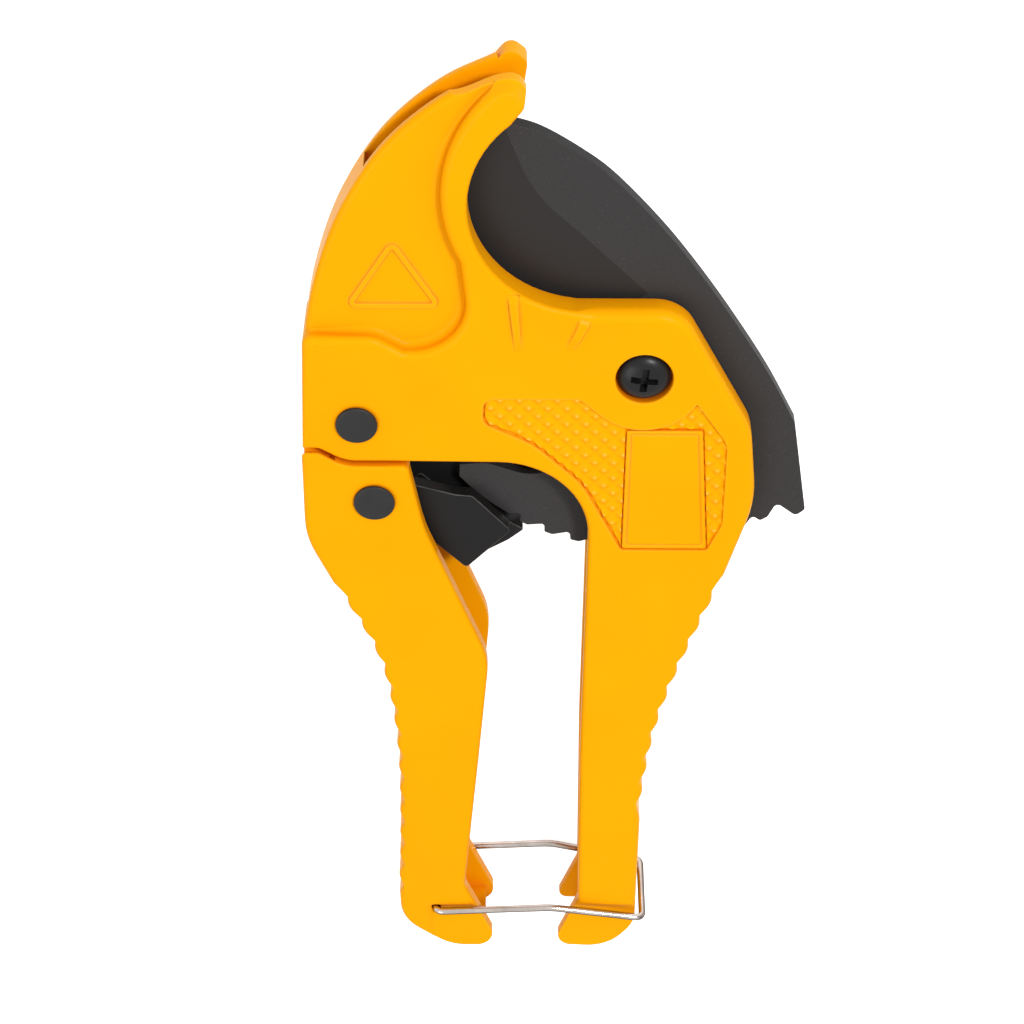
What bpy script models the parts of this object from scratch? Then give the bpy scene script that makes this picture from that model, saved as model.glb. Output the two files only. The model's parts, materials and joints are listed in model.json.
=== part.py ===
"""Ratchet PVC pipe cutter, lying on its back: X across, Y towards the hook, Z out of the front face.

Sizes are in millimetres and angles in degrees. MM turns them into metres where a mesh is made.
The outlines are drawn about the tool's mid plane. At the end everything is moved so that the
origin is at the middle of the underside.
"""
import math

import bmesh
import bpy
from mathutils import Matrix, Vector

MM = 0.001
GAP = 0.3                    # clearance between pieces that seat on or turn in each other
ARC_STEP = 12.0              # widest step along a round stretch

# Castings
FRAME_HALF = 7.6             # half thickness of the frame's body and fixed handle
HOOK_HALF = 4.7              # half thickness of the sunk hook panel
HANDLE_HALF = 8.6            # half thickness of the moving handle
WALL = 2.7
HANDLE_WALL = 3.0
RIM = 1.1                    # softened edge round the frame's faces
HANDLE_RIM = 0.8             # and round the moving handle's
FOOT_SINK = 0.7              # step down from a handle's face to its foot
FOOT_SLOPE = 2.0             # run of that step
SLOT_PLAY = 1.1              # room beside the blade in the frame's slot
EAR_WALL = 1.7               # the two ears of the moving handle inside the frame
RIDGE_DEPTH = 1.0
RIDGE_SAMPLES = 4

# Pivots, all along Z
BLADE_PIVOT = Vector((24.0, 36.0))
HANDLE_PIVOT = Vector((-28.4, 25.9))
PAWL_PIVOT = Vector((-25.6, 8.9))
WIRE_PIVOT = Vector((-15.8, -98.3))

# Pipe seat and jaw
SEAT_CENTRE = Vector((13.5, 71.5))
SEAT_RADIUS = 21.3           # a 42 mm pipe with a little play
LAND_CENTRE = Vector((15.5, 73.5))
LAND_RADIUS = 28.0
LOBE_CENTRE = Vector((-18.4, 51.5))
LOBE_RADIUS = 10.1

# Blade
BLADE_THICKNESS = 2.8
EDGE_THICKNESS = 0.4
TOOTH_COUNT = 10
TOOTH_PITCH = 7.08
TOOTH_FIRST = -120.0         # angle of the leftmost tooth about the blade pivot
TOOTH_RADIUS = 43.4
TOOTH_HEIGHT = 1.75
TAIL_RADIUS = 43.0
CORNER_RADIUS = 46.4
HUB_RADIUS = 13.0

# Blade pivot stack
SHANK_RADIUS = 2.5
BUSH_RADIUS = 4.0
WASHER_RADIUS = 6.0
WASHER_THICKNESS = 0.5
BOSS_RADIUS = 8.0
HEAD_RADIUS = 4.8
HEAD_HEIGHT = 2.7
HEAD_POCKET = 2.4            # depth of the screw head's counterbore
HEAD_POCKET_PLAY = 0.4
CROSS_LENGTH = 5.4
CROSS_WIDTH = 1.1
CROSS_DEPTH = 1.5
NUT_FLATS = 8.0
NUT_HEIGHT = 4.0
NUT_SINK = 2.6               # depth of the nut's pocket in the back

# Rivets
RIVET_SHANK = 2.5
RIVET_HEAD_RADIUS = 3.85
RIVET_HEAD = 0.6
EAR_RADIUS = 6.8
SPLIT_GAP = 0.5              # open line between the frame and the moving handle
SPLIT_RADIUS = 8.6
SPLIT_TURN = -120.0          # the round split runs to here about the handle pivot
SHOULDER = Vector((-35.6, 20.2))    # from here the split runs straight out to the side
SHOULDER_ROUND = 2.0
HANDLE_SWING = 21.0

# Pawl and springs
PAWL_HUB = 5.4
CHEEK_PLAY = 0.5             # cheeks stand this far off the blade's faces
HANDLE_SPRING_WIRE = 0.9
HANDLE_SPRING_TURNS = 3
PAWL_SPRING_WIRE = 0.7
PAWL_SPRING_TURNS = 2
CURL_GAP = 0.5               # clear space between neighbouring curls
CURL_POINTS = 10

# Lock wire
WIRE_RADIUS = 0.72
WIRE_TOE_IN = 0.9            # the legs lean in by this much from the knee to the cross bar
WIRE_BEND = 1.7
WIRE_REACH = Vector((43.6, -2.75))
WIRE_KNEE = Vector((24.0, 1.4))
WIRE_PIN = 3.2               # length of each bent end, inwards

CAVITY = FRAME_HALF - WALL
TONGUE = CAVITY - GAP
HANDLE_CAVITY = HANDLE_HALF - HANDLE_WALL
PAWL_HALF = min(CAVITY, HANDLE_CAVITY) - GAP
BLADE_HALF = BLADE_THICKNESS / 2
SLOT_HALF = BLADE_HALF + SLOT_PLAY
BOSS_FACE = BLADE_HALF + WASHER_THICKNESS + 2 * GAP
WIRE_OUT = HANDLE_HALF + GAP + WIRE_RADIUS
CUT_OVER = 2.0               # cutters run past the faces by this much

PAINT = (1.0, 0.48, 0.0, 1.0)
BLACK_STEEL = (0.055, 0.053, 0.053, 1.0)
BLACK_OXIDE = (0.03, 0.03, 0.03, 1.0)
BRIGHT_STEEL = (0.62, 0.58, 0.54, 1.0)


# Outlines

def polar(centre, radius, angle):
    turn = math.radians(angle)
    return Vector((centre.x + radius * math.cos(turn), centre.y + radius * math.sin(turn)))


def arc(centre, radius, start, end):
    steps = max(1, math.ceil(abs(end - start) / ARC_STEP))
    return [polar(centre, radius, start + (end - start) * i / steps) for i in range(steps + 1)]


def curve(points, steps=4):
    """A smooth open curve through the points, with steps spans between neighbours."""
    knots = [Vector(p) for p in points]
    knots = [2 * knots[0] - knots[1]] + knots + [2 * knots[-1] - knots[-2]]
    path = []
    for a, b, c, d in zip(knots, knots[1:], knots[2:], knots[3:]):
        for i in range(steps):
            t = i / steps
            path.append(0.5 * (2 * b + (c - a) * t + (2 * a - 5 * b + 4 * c - d) * t ** 2
                               + (3 * b - a - 3 * c + d) * t ** 3))
    return path + [knots[-2]]


def rounded(corners):
    """An open run of corners (x, y, radius): the inner ones are rounded off, the ends are kept."""
    points = [Vector(corners[0][:2])]
    for before, corner, after in zip(corners, corners[1:], corners[2:]):
        tip = Vector(corner[:2])
        towards = (Vector(before[:2]) - tip).normalized()
        away = (Vector(after[:2]) - tip).normalized()
        half = towards.angle(away) / 2
        setback = corner[2] / math.tan(half)
        middle = tip + (towards + away).normalized() * corner[2] / math.sin(half)
        first = tip + towards * setback - middle
        sweep = first.angle_signed(tip + away * setback - middle)
        steps = max(1, math.ceil(abs(math.degrees(sweep)) / ARC_STEP))
        for i in range(steps + 1):
            turned = first.copy()
            turned.rotate(Matrix.Rotation(-sweep * i / steps, 2))
            points.append(middle + turned)
    return points + [Vector(corners[-1][:2])]


def grip(points, count):
    """A curved grip edge with finger ridges: the ridged points and the plain ones under them."""
    plain = even(curve(points, 8), count * RIDGE_SAMPLES + 1)
    ridged = []
    for i, point in enumerate(plain):
        along = (plain[min(i + 1, len(plain) - 1)] - plain[max(i - 1, 0)]).normalized()
        dip = 1 - abs(math.sin(math.pi * i / RIDGE_SAMPLES))
        ridged.append(point - Vector((-along.y, along.x)) * RIDGE_DEPTH * dip)
    return ridged, plain


def even(path, count):
    """The path again with count points spaced evenly along it."""
    steps = [0.0]
    for a, b in zip(path, path[1:]):
        steps.append(steps[-1] + (b - a).length)
    points = []
    for i in range(count):
        want = steps[-1] * i / (count - 1)
        k = max(j for j in range(len(path) - 1) if steps[j] <= want)
        points.append(path[k].lerp(path[k + 1], (want - steps[k]) / (steps[k + 1] - steps[k])))
    return points


def inset(outline, distance):
    """The closed outline moved inwards, left of its direction of travel, point for point."""
    moved = []
    for i, point in enumerate(outline):
        before = (point - outline[i - 1]).normalized()
        after = (outline[(i + 1) % len(outline)] - point).normalized()
        along = (before + after).normalized()
        widen = max(0.6, along.dot(after))
        moved.append(point + Vector((-along.y, along.x)) * distance / widen)
    return moved


def area(outline):
    pairs = zip(outline, outline[1:] + outline[:1])
    return sum(a.x * b.y - b.x * a.y for a, b in pairs) / 2


# Solids

def new_object(name, mesh):
    piece = bpy.data.objects.new(name, mesh)
    bpy.context.scene.collection.objects.link(piece)
    return piece


def stack(name, loops):
    """A closed solid through a stack of equal loops, each a list of points and its height."""
    shape = bmesh.new()
    rings = [[shape.verts.new((p.x * MM, p.y * MM, z * MM)) for p in loop] for loop, z in loops]
    for low, high in zip(rings, rings[1:]):
        for i in range(len(low)):
            shape.faces.new((low[i - 1], low[i], high[i], high[i - 1]))
    shape.faces.new(reversed(rings[0]))
    shape.faces.new(rings[-1])
    bmesh.ops.recalc_face_normals(shape, faces=shape.faces)
    mesh = bpy.data.meshes.new(name)
    shape.to_mesh(mesh)
    shape.free()
    return new_object(name, mesh)


def prism(outline, low, high):
    return stack("prism", [(outline, low), (outline, high)])


def casting(outline, plain, half, rim):
    """A cast plate whose edges are softened towards both faces."""
    if area(plain) < 0:
        outline, plain = outline[::-1], plain[::-1]
    face = inset(plain, rim)
    shoulder = [(a * 2 + b) / 3 for a, b in zip(outline, face)]
    levels = [(face, half), (shoulder, half - rim * 0.35), (outline, half - rim)]
    return stack("casting", [(loop, -z) for loop, z in levels] + [(loop, z) for loop, z in levels[::-1]])


def turned(centre, profile):
    """A solid turned about a Z axis: the profile is (radius, z) from bottom to top."""
    return stack("turned", [(arc(centre, radius, 0, 360 - ARC_STEP), z) for radius, z in profile])


def rod(centre, radius, low, high):
    return turned(centre, [(radius, low), (radius, high)])


def combine(piece, tool, operation):
    cutter = piece.modifiers.new("combine", "BOOLEAN")
    cutter.operation = operation
    cutter.object = tool
    depsgraph = bpy.context.evaluated_depsgraph_get()
    mesh = bpy.data.meshes.new_from_object(piece.evaluated_get(depsgraph))
    piece.modifiers.clear()
    piece.data = mesh
    bpy.data.objects.remove(tool)


def cut(piece, *tools):
    for tool in tools:
        combine(piece, tool, "DIFFERENCE")


def add(piece, *tools):
    for tool in tools:
        combine(piece, tool, "UNION")


def tube(name, points, radius, sides):
    """A round wire along 3-D points, with closed ends."""
    line = bpy.data.curves.new(name, "CURVE")
    line.dimensions = "3D"
    line.bevel_depth = radius * MM
    line.bevel_resolution = sides
    line.use_fill_caps = True
    spline = line.splines.new("POLY")
    spline.points.add(len(points) - 1)
    for knot, point in zip(spline.points, points):
        knot.co = (*(point * MM), 1.0)
    return new_object(name, line)


# Frame

FIXED_FOOT_LINE = -99.5      # each foot is sunk below its line
MOVING_FOOT_LINE = -98.8
FIXED_TOE = Vector((8.6, -110.6))
MOVING_TOE = Vector((-2.4, -109.9))
REAR_TOE = Vector((11.9, -106.6))
REAR_TOE_ROUND = 1.7
HOOK_BACK = [(-38.0, 31.0), (-37.2, 45.0), (-34.2, 58.5), (-29.5, 70.6), (-22.2, 82.1), (-12.6, 90.9),
             (-2.6, 96.2)]
SLOT_START = Vector((-27.2, 76.6))
GRIP_PATH = [(39.3, -13.6), (35.1, -26.0), (31.3, -38.4), (28.5, -50.6), (26.8, -64.0), (26.4, -69.2)]
GRIP_RIDGES = 9


def body_outline():
    """The thick part of the frame, clockwise from the corner beside the handle rivet."""
    left = rounded([(-38.6, SHOULDER.y, 0), (-37.7, 44.5, 2.0), (-24.6, 44.5, 6.0), (-19.5, 41.4, 0)])
    lobe = arc(LOBE_CENTRE, LOBE_RADIUS, -85, 5)
    land = arc(LAND_CENTRE, LAND_RADIUS, 208, 133)
    tip = rounded([(-2.3, 95.6, 0), (-0.5, 97.7, 2.0), (2.7, 95.0, 1.9), (2.1, 90.8, 1.7), (0.0, 88.1, 0)])
    seat = arc(SEAT_CENTRE, SEAT_RADIUS, 129, 262)
    right = rounded([(11.5, 50.2, 0), (30.4, 50.2, 8.0), (44.0, 24.5, 12.0), (45.6, 8.0, 26.0), (40.6, -9.5, 0)])
    ridged, plain = grip(GRIP_PATH, GRIP_RIDGES)
    foot = rounded([(26.3, -74.0, 0), (26.0, -104.0, 8.0), (20.4, -111.2, 9.0), (FIXED_TOE.x, FIXED_TOE.y, 2.8),
                    (13.9, -97.0, 3.0), (13.7, -55.0, 60.0), (14.6, 16.6, 17.0), (-22.0, 17.3, 0)])
    split = split_line(0.0)
    start = left + lobe + land + tip + seat + right
    return start + ridged + foot + split, start + plain + foot + split


def split_line(gap):
    """The line between the frame and the moving handle, right to left, moved down by the gap."""
    bend = arc(HANDLE_PIVOT, SPLIT_RADIUS + gap, -95, SPLIT_TURN)
    side = (-38.6, SHOULDER.y - gap)
    return bend[:-1] + rounded([(*bend[-1], 0), (SHOULDER.x, SHOULDER.y - gap, SHOULDER_ROUND), (*side, 0)])[:-1]


def hook_outline():
    """The thinner hook panel, which runs in under the body and the jaw's land."""
    inner = arc(SEAT_CENTRE, SEAT_RADIUS + 2.5, 128, 250)
    return curve(HOOK_BACK) + inner + [Vector((-12.0, 39.5)), Vector((-35.5, 33.5))]


def slot_cutter():
    """The blade's slot: open at the jaw, the top and the right, closed by the hook's back."""
    back = inset(curve(HOOK_BACK), -WALL)[1:-1]
    back = [p for p in back if p.y < SLOT_START.y - 2 * WALL]
    sweep = arc(BLADE_PIVOT, CORNER_RADIUS + 2 * GAP, -20, -140)
    around = [Vector(p) for p in ((-36.0, 84.0), (-36.0, 112.0), (80.0, 112.0), (80.0, 20.0))]
    return prism(back + [SLOT_START] + around + sweep, -SLOT_HALF, SLOT_HALF)


def body_cavity():
    """The hollow of the body and of the fixed handle, open towards the moving handle."""
    top = rounded([(-45.0, 31.0, 0), (-35.0, 31.0, 2.0), (-33.0, 38.0, 3.0), (-8.0, 38.0, 5.0), (0.0, 45.6, 4.0),
                   (26.8, 45.6, 6.0), (39.6, 23.0, 8.0), (41.0, 9.0, 20.0), (35.4, -12.0, 0)])
    _, outer = grip(GRIP_PATH, GRIP_RIDGES)
    side = [p + Vector((-WALL - RIDGE_DEPTH, 0)) for p in outer[4::4]]
    foot = rounded([(22.4, -72.0, 0), (22.2, -102.0, 4.0), (16.0, -105.5, 0)])
    return prism(top + side + foot + [Vector((16.0, -120.0)), Vector((-45.0, -120.0))], -CAVITY, CAVITY)


def sunk_foot(face, line, left, right, side):
    """Cuts the sunk face of a foot, with a sloped step along its line."""
    deep = face - FOOT_SINK
    top = face + CUT_OVER
    rise = FOOT_SLOPE * (top - deep) / FOOT_SINK
    floor = [(left, line), (right, line), (right, -120.0), (left, -120.0)]
    wide = [(left, line + rise), (right, line + rise), (right, -120.0), (left, -120.0)]
    return stack("foot", [([Vector(p) for p in floor], side * deep), ([Vector(p) for p in wide], side * top)])


def rear_toe_cutter():
    """Cuts the rear wall of the fixed toe shorter than the front one."""
    end = arc(REAR_TOE, REAR_TOE_ROUND, 180, 270)
    past = [(16.0, end[-1].y), (16.0, -120.0), (0.0, -120.0), (0.0, REAR_TOE.y)]
    return prism(end + [Vector(p) for p in past], -FRAME_HALF - CUT_OVER, -CAVITY + 0.1)


def make_frame():
    outline, plain = body_outline()
    frame = casting(outline, plain, FRAME_HALF, RIM)
    hook = hook_outline()
    add(frame, casting(hook, hook, HOOK_HALF, RIM))
    cut(frame, body_cavity(), slot_cutter())
    reach = FRAME_HALF + CUT_OVER
    for side in (-1, 1):
        boss = sorted((side * BOSS_FACE, side * (CAVITY + 0.5)))
        add(frame, rod(BLADE_PIVOT, BOSS_RADIUS, *boss))
        cut(frame, sunk_foot(FRAME_HALF, FIXED_FOOT_LINE, 0.0, 40.0, side))
    cut(frame, rear_toe_cutter())
    cut(frame, rod(BLADE_PIVOT, SHANK_RADIUS + GAP, -reach, reach))
    cut(frame, rod(BLADE_PIVOT, HEAD_RADIUS + HEAD_POCKET_PLAY, FRAME_HALF - HEAD_POCKET, reach))
    cut(frame, prism(hexagon(NUT_FLATS + 2 * GAP), -reach, NUT_SINK - FRAME_HALF))
    cut(frame, rod(HANDLE_PIVOT, RIVET_SHANK + GAP, -reach, reach))
    return finish(frame, "frame", PAINT, 0.42, 0.0)


# Moving handle

HANDLE_PATH = [(-32.4, -14.6), (-26.9, -27.2), (-24.2, -38.6), (-22.8, -56.0), (-22.9, -76.0), (-23.5, -92.0)]
HANDLE_RIDGES = 13
LAP_START = -118.0                              # past here only a thin lip laps over the frame


def handle_outline():
    """The handle's outline, clockwise from its upper left corner."""
    split = split_line(SPLIT_GAP)[::-1]
    inner = rounded([(-24.0, 16.8, 0), (-19.2, 16.8, 1.4), (-16.4, 2.0, 30.0), (-4.4, -30.0, 18.0),
                     (-6.6, -56.0, 60.0), (-9.8, -92.0, 6.0), (MOVING_TOE.x, MOVING_TOE.y, 3.4),
                     (-13.0, -110.0, 10.0), (-23.2, -102.0, 9.0), (-23.4, -94.0, 0)])
    ridged, plain = grip(HANDLE_PATH[::-1], HANDLE_RIDGES)
    left = rounded([(-34.1, -11.2, 0), (-38.9, -0.2, 20.0), (-38.8, SHOULDER.y - SPLIT_GAP, 1.2), (*split[0], 0)])[:-1]
    return split + inner + ridged + left, split + inner + plain + left


def swing_room():
    """Under the lip the upper left corner is cut away, so that it swings past the frame."""
    reach = 20.0
    corners = [HANDLE_PIVOT] + [polar(HANDLE_PIVOT, reach, a) for a in (LAP_START, -150.0, -180.0)]
    return prism(corners, -FRAME_HALF - GAP, FRAME_HALF + GAP)


def tongue():
    """The thin upper end that turns inside the frame."""
    ear = arc(HANDLE_PIVOT, EAR_RADIUS, 170, -40)
    foot = [Vector(p) for p in ((-20.5, 15.4), (-38.0, 11.0), (-38.6, 13.0))]
    return prism(ear + foot + [Vector((-38.6, 22.6)), Vector((-37.0, 23.6))], -TONGUE, TONGUE)


def handle_channel():
    """The hollow of the handle, open towards the fixed handle."""
    _, outer = grip(HANDLE_PATH, HANDLE_RIDGES)
    web = [p + Vector((HANDLE_WALL + RIDGE_DEPTH, 0)) for p in outer[2::4]]
    top = rounded([(10.0, 15.4, 0), (-35.6, 15.4, 1.0), (-35.6, 3.2, 12.0), (-29.6, -9.4, 0)])
    foot = rounded([(-18.8, -92.0, 0), (-18.6, -98.0, 4.0), (-13.0, -105.6, 4.0), (-5.6, -105.6, 0)])
    return prism(top + web + foot + [Vector((-5.6, -120.0)), Vector((10.0, -120.0))], -HANDLE_CAVITY, HANDLE_CAVITY)


def make_handle():
    outline, plain = handle_outline()
    handle = casting(outline, plain, HANDLE_HALF, HANDLE_RIM)
    cut(handle, swing_room())
    add(handle, tongue())
    spring_room = [Vector(p) for p in ((-35.6, 10.0), (-35.6, 40.0), (-10.0, 40.0), (-10.0, 10.0))]
    ears = TONGUE - EAR_WALL
    cut(handle, handle_channel(), prism(spring_room, -ears, ears))
    reach = HANDLE_HALF + CUT_OVER
    for side in (-1, 1):
        cut(handle, sunk_foot(HANDLE_HALF, MOVING_FOOT_LINE, WIRE_PIVOT.x - 1.4, 10.0, side))
    cut(handle, rod(HANDLE_PIVOT, RIVET_SHANK + GAP, -reach, reach))
    cut(handle, rod(PAWL_PIVOT, RIVET_SHANK + GAP, -reach, reach))
    cut(handle, rod(WIRE_PIVOT, WIRE_RADIUS + GAP, -reach, reach))
    return finish(handle, "moving_handle", PAINT, 0.42, 0.0)


# Blade and its pivot

EDGE_PATH = [(-7.5, 84.6), (-11.4, 76.0), (-10.2, 65.5), (-3.5, 54.5), (12.0, 44.5)]
BEVEL_PATH = [(-1.8, 85.4), (4.2, 71.6), (13.6, 61.6), (24.5, 50.5)]
BACK_CORNER = Vector((52.5, 22.2))
BACK_PATH = [BACK_CORNER, (47.1, 33.0), (40.9, 43.5), (34.2, 53.8), (26.9, 63.8), (18.4, 73.5), (12.3, 78.6),
             (4.8, 83.3), (-1.8, 85.4)]


def tooth_edge():
    """The ratchet edge from the tail to the back's corner: rounded hooks whose steep flanks face the pawl."""
    root = TOOTH_RADIUS - TOOTH_HEIGHT
    corners = [(*polar(BLADE_PIVOT, TAIL_RADIUS, TOOTH_FIRST - 5.0), 0)]
    for i in range(TOOTH_COUNT):
        angle = TOOTH_FIRST + i * TOOTH_PITCH
        corners.append((*polar(BLADE_PIVOT, root, angle - 2.3), 0.7))
        corners.append((*polar(BLADE_PIVOT, TOOTH_RADIUS, angle - 1.3), 0.5))
        corners.append((*polar(BLADE_PIVOT, TOOTH_RADIUS, angle + 0.9), 0.8))
    last = TOOTH_FIRST + TOOTH_COUNT * TOOTH_PITCH
    corners.append((*polar(BLADE_PIVOT, root, last - 1.9), 0.9))
    corners.append((*polar(BLADE_PIVOT, CORNER_RADIUS, last - 0.6), 1.0))
    corners.append((*polar(BLADE_PIVOT, CORNER_RADIUS, last + 2.2), 1.0))
    tail = arc(BLADE_PIVOT, TAIL_RADIUS, -142, TOOTH_FIRST - 5.0)
    return tail[:-1] + rounded(corners + [(*BACK_CORNER, 0)])[:-1]


def make_blade():
    count = 12
    sharp = even(curve(EDGE_PATH, 8), count)
    bevel = even(curve(BEVEL_PATH, 8), count)
    hub = arc(BLADE_PIVOT, HUB_RADIUS, 150, 200)
    web = rounded([(11.6, 30.0, 0), (11.0, 13.0, 5.0), (4.0, 9.4, 8.0), (-5.0, 12.7, 6.0), (-9.8, 12.2, 0)])
    rest = hub + web + tooth_edge() + curve(BACK_PATH, 3)[:-1]
    shape = bmesh.new()
    sides = []
    for sign in (-1, 1):
        flat = sign * BLADE_HALF * MM
        thin = sign * EDGE_THICKNESS / 2 * MM
        edge = [shape.verts.new((p.x * MM, p.y * MM, thin)) for p in sharp[:-1]]
        edge.append(shape.verts.new((sharp[-1].x * MM, sharp[-1].y * MM, flat)))
        ground = [shape.verts.new((p.x * MM, p.y * MM, flat)) for p in bevel]
        outer = [shape.verts.new((p.x * MM, p.y * MM, flat)) for p in rest]
        for i in range(count - 1):
            shape.faces.new((edge[i], edge[i + 1], ground[i + 1], ground[i]))
        shape.faces.new(ground + [edge[-1]] + outer)
        sides.append(edge + outer + [ground[0]])
    low, high = sides
    for i in range(len(low)):
        shape.faces.new((low[i - 1], low[i], high[i], high[i - 1]))
    bmesh.ops.recalc_face_normals(shape, faces=shape.faces)
    mesh = bpy.data.meshes.new("blade")
    shape.to_mesh(mesh)
    shape.free()
    blade = new_object("blade", mesh)
    cut(blade, rod(BLADE_PIVOT, BUSH_RADIUS + GAP, -BLADE_THICKNESS, BLADE_THICKNESS))
    return finish(blade, "blade", BLACK_STEEL, 0.5, 0.6)


def hexagon(flats):
    return [polar(BLADE_PIVOT, flats / math.sqrt(3), 60 * i + 30) for i in range(6)]


def make_screw():
    seat = FRAME_HALF - HEAD_POCKET + GAP
    top = seat + HEAD_HEIGHT
    tail = GAP - FRAME_HALF - NUT_HEIGHT + NUT_SINK
    screw = turned(BLADE_PIVOT, [(SHANK_RADIUS - 0.5, tail), (SHANK_RADIUS, tail + 0.5), (SHANK_RADIUS, seat),
                                 (HEAD_RADIUS, seat), (HEAD_RADIUS, seat + 0.35 * HEAD_HEIGHT),
                                 (0.88 * HEAD_RADIUS, seat + 0.68 * HEAD_HEIGHT),
                                 (0.62 * HEAD_RADIUS, seat + 0.9 * HEAD_HEIGHT), (0.3 * HEAD_RADIUS, top)])
    for long, wide in ((CROSS_LENGTH, CROSS_WIDTH), (CROSS_WIDTH, CROSS_LENGTH)):
        corners = ((-long, -wide), (long, -wide), (long, wide), (-long, wide))
        slot = [BLADE_PIVOT + Vector(c) / 2 for c in corners]
        cut(screw, prism(slot, top - CROSS_DEPTH, top + CUT_OVER))
    return finish(screw, "blade_screw", BLACK_OXIDE, 0.35, 0.7)


def make_nut():
    high = NUT_SINK - FRAME_HALF - GAP
    low = high - NUT_HEIGHT
    nut = stack("nut", [(hexagon(NUT_FLATS - 1.0), low), (hexagon(NUT_FLATS), low + 0.5), (hexagon(NUT_FLATS), high)])
    cut(nut, rod(BLADE_PIVOT, SHANK_RADIUS + GAP, low - CUT_OVER, high + CUT_OVER))
    return finish(nut, "blade_nut", BLACK_OXIDE, 0.4, 0.7)


def ring(name, outer, inner, low, high, colour):
    piece = rod(BLADE_PIVOT, outer, low, high)
    cut(piece, rod(BLADE_PIVOT, inner, low - CUT_OVER, high + CUT_OVER))
    return finish(piece, name, colour, 0.35, 0.9)


def make_rivet(name, pivot, half):
    """A flat-headed rivet through both walls, headed on each side."""
    seat = half + GAP
    top = seat + RIVET_HEAD
    soft = 0.4
    side = [(RIVET_HEAD_RADIUS - soft, -top), (RIVET_HEAD_RADIUS, soft - top), (RIVET_HEAD_RADIUS, -seat),
            (RIVET_SHANK, -seat)]
    return finish(turned(pivot, side + [(r, -z) for r, z in side[::-1]]), name, BLACK_OXIDE, 0.45, 0.5)


# Pawl, springs and lock wire

NOSE_PLAY = 0.7              # the nose rests just off the circle of the tooth tips
PAWL_NOSE = polar(BLADE_PIVOT, TOOTH_RADIUS + NOSE_PLAY, -119.5)
PAWL_FRONT = [(-20.4, 10.4, 0), (-10.6, 7.5, 1.5), (-7.4, 7.2, 1.5), (-0.2, -0.9, 0.8), (-8.7, -9.9, 0.8),
              (-17.0, -1.4, 2.0), (-21.5, 5.6, 0)]
PAWL_REAR = [(-21.0, 10.6, 0), (6.2, 11.2, 1.5), (5.4, 5.0, 3.0), (-8.7, -9.9, 0.8), (-17.0, -1.4, 2.0),
             (-21.5, 5.6, 0)]
PAWL_CORE = [(PAWL_NOSE.x - 3.0, PAWL_NOSE.y - 2.6, 0), (PAWL_NOSE.x, PAWL_NOSE.y, 0.3), (-1.2, -0.2, 1.0),
             (-6.4, 3.0, 1.0), (-12.0, 2.6, 6.0), (-17.6, 8.0, 0.6), (-19.0, 4.0, 0.6), (-16.4, -1.6, 1.0),
             (-8.7, -9.9, 0.8), (PAWL_NOSE.x - 3.0, PAWL_NOSE.y - 2.6, 0)]


def make_pawl():
    cheek = BLADE_HALF + CHEEK_PLAY
    core = rounded(PAWL_CORE)[:-1]
    pawl = prism(core, -cheek - GAP, cheek + GAP)
    for shape, low, high in ((PAWL_FRONT, cheek, PAWL_HALF), (PAWL_REAR, -PAWL_HALF, -cheek)):
        plate = rounded(shape)
        plate = prism(plate, low, high)
        add(plate, rod(PAWL_PIVOT, PAWL_HUB, low, high))
        add(pawl, plate)
    cut(pawl, rod(PAWL_PIVOT, RIVET_SHANK + GAP, -PAWL_HALF - CUT_OVER, PAWL_HALF + CUT_OVER))
    return finish(pawl, "pawl", BLACK_STEEL, 0.5, 0.6)


def make_spring(name, pivot, shank, wire, turns, first_leg, last_leg):
    """A torsion spring round a rivet: curls one over the other and a straight leg at each end."""
    radius = shank + GAP + wire / 2
    pitch = wire + CURL_GAP
    count = turns * CURL_POINTS
    low = -pitch * turns / 2
    start = math.degrees(math.atan2(*(first_leg - pivot).yx)) + math.degrees(
        math.acos(radius / (first_leg - pivot).length))
    finish_angle = math.degrees(math.atan2(*(last_leg - pivot).yx)) - math.degrees(
        math.acos(radius / (last_leg - pivot).length))
    turn = (finish_angle - start) % 360 + 360 * (turns - 1)
    points = [Vector((*first_leg, low)), Vector((*first_leg.lerp(polar(pivot, radius, start), 0.7), low))]
    for i in range(count + 1):
        share = i / count
        points.append(Vector((*polar(pivot, radius, start + turn * share), low + pitch * turns * share)))
    points.append(Vector((*last_leg.lerp(polar(pivot, radius, finish_angle), 0.7), -low)))
    points.append(Vector((*last_leg, -low)))
    report_gap(name, points, wire, turn / count)
    return finish(tube(name, points, wire / 2, 1), name, BRIGHT_STEEL, 0.3, 1.0)


def report_gap(name, points, wire, step):
    """Prints the least clear space between stretches of wire half a curl or more apart."""
    fine = []
    for a, b in zip(points, points[1:]):
        fine += [a.lerp(b, i / 4) for i in range(4)]
    skip = int(4 * 180 / step)
    least = min((fine[i] - fine[j]).length for i in range(len(fine)) for j in range(i + skip, len(fine)))
    print(name, "least gap between curls", round(least - wire, 3), "mm")


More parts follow.
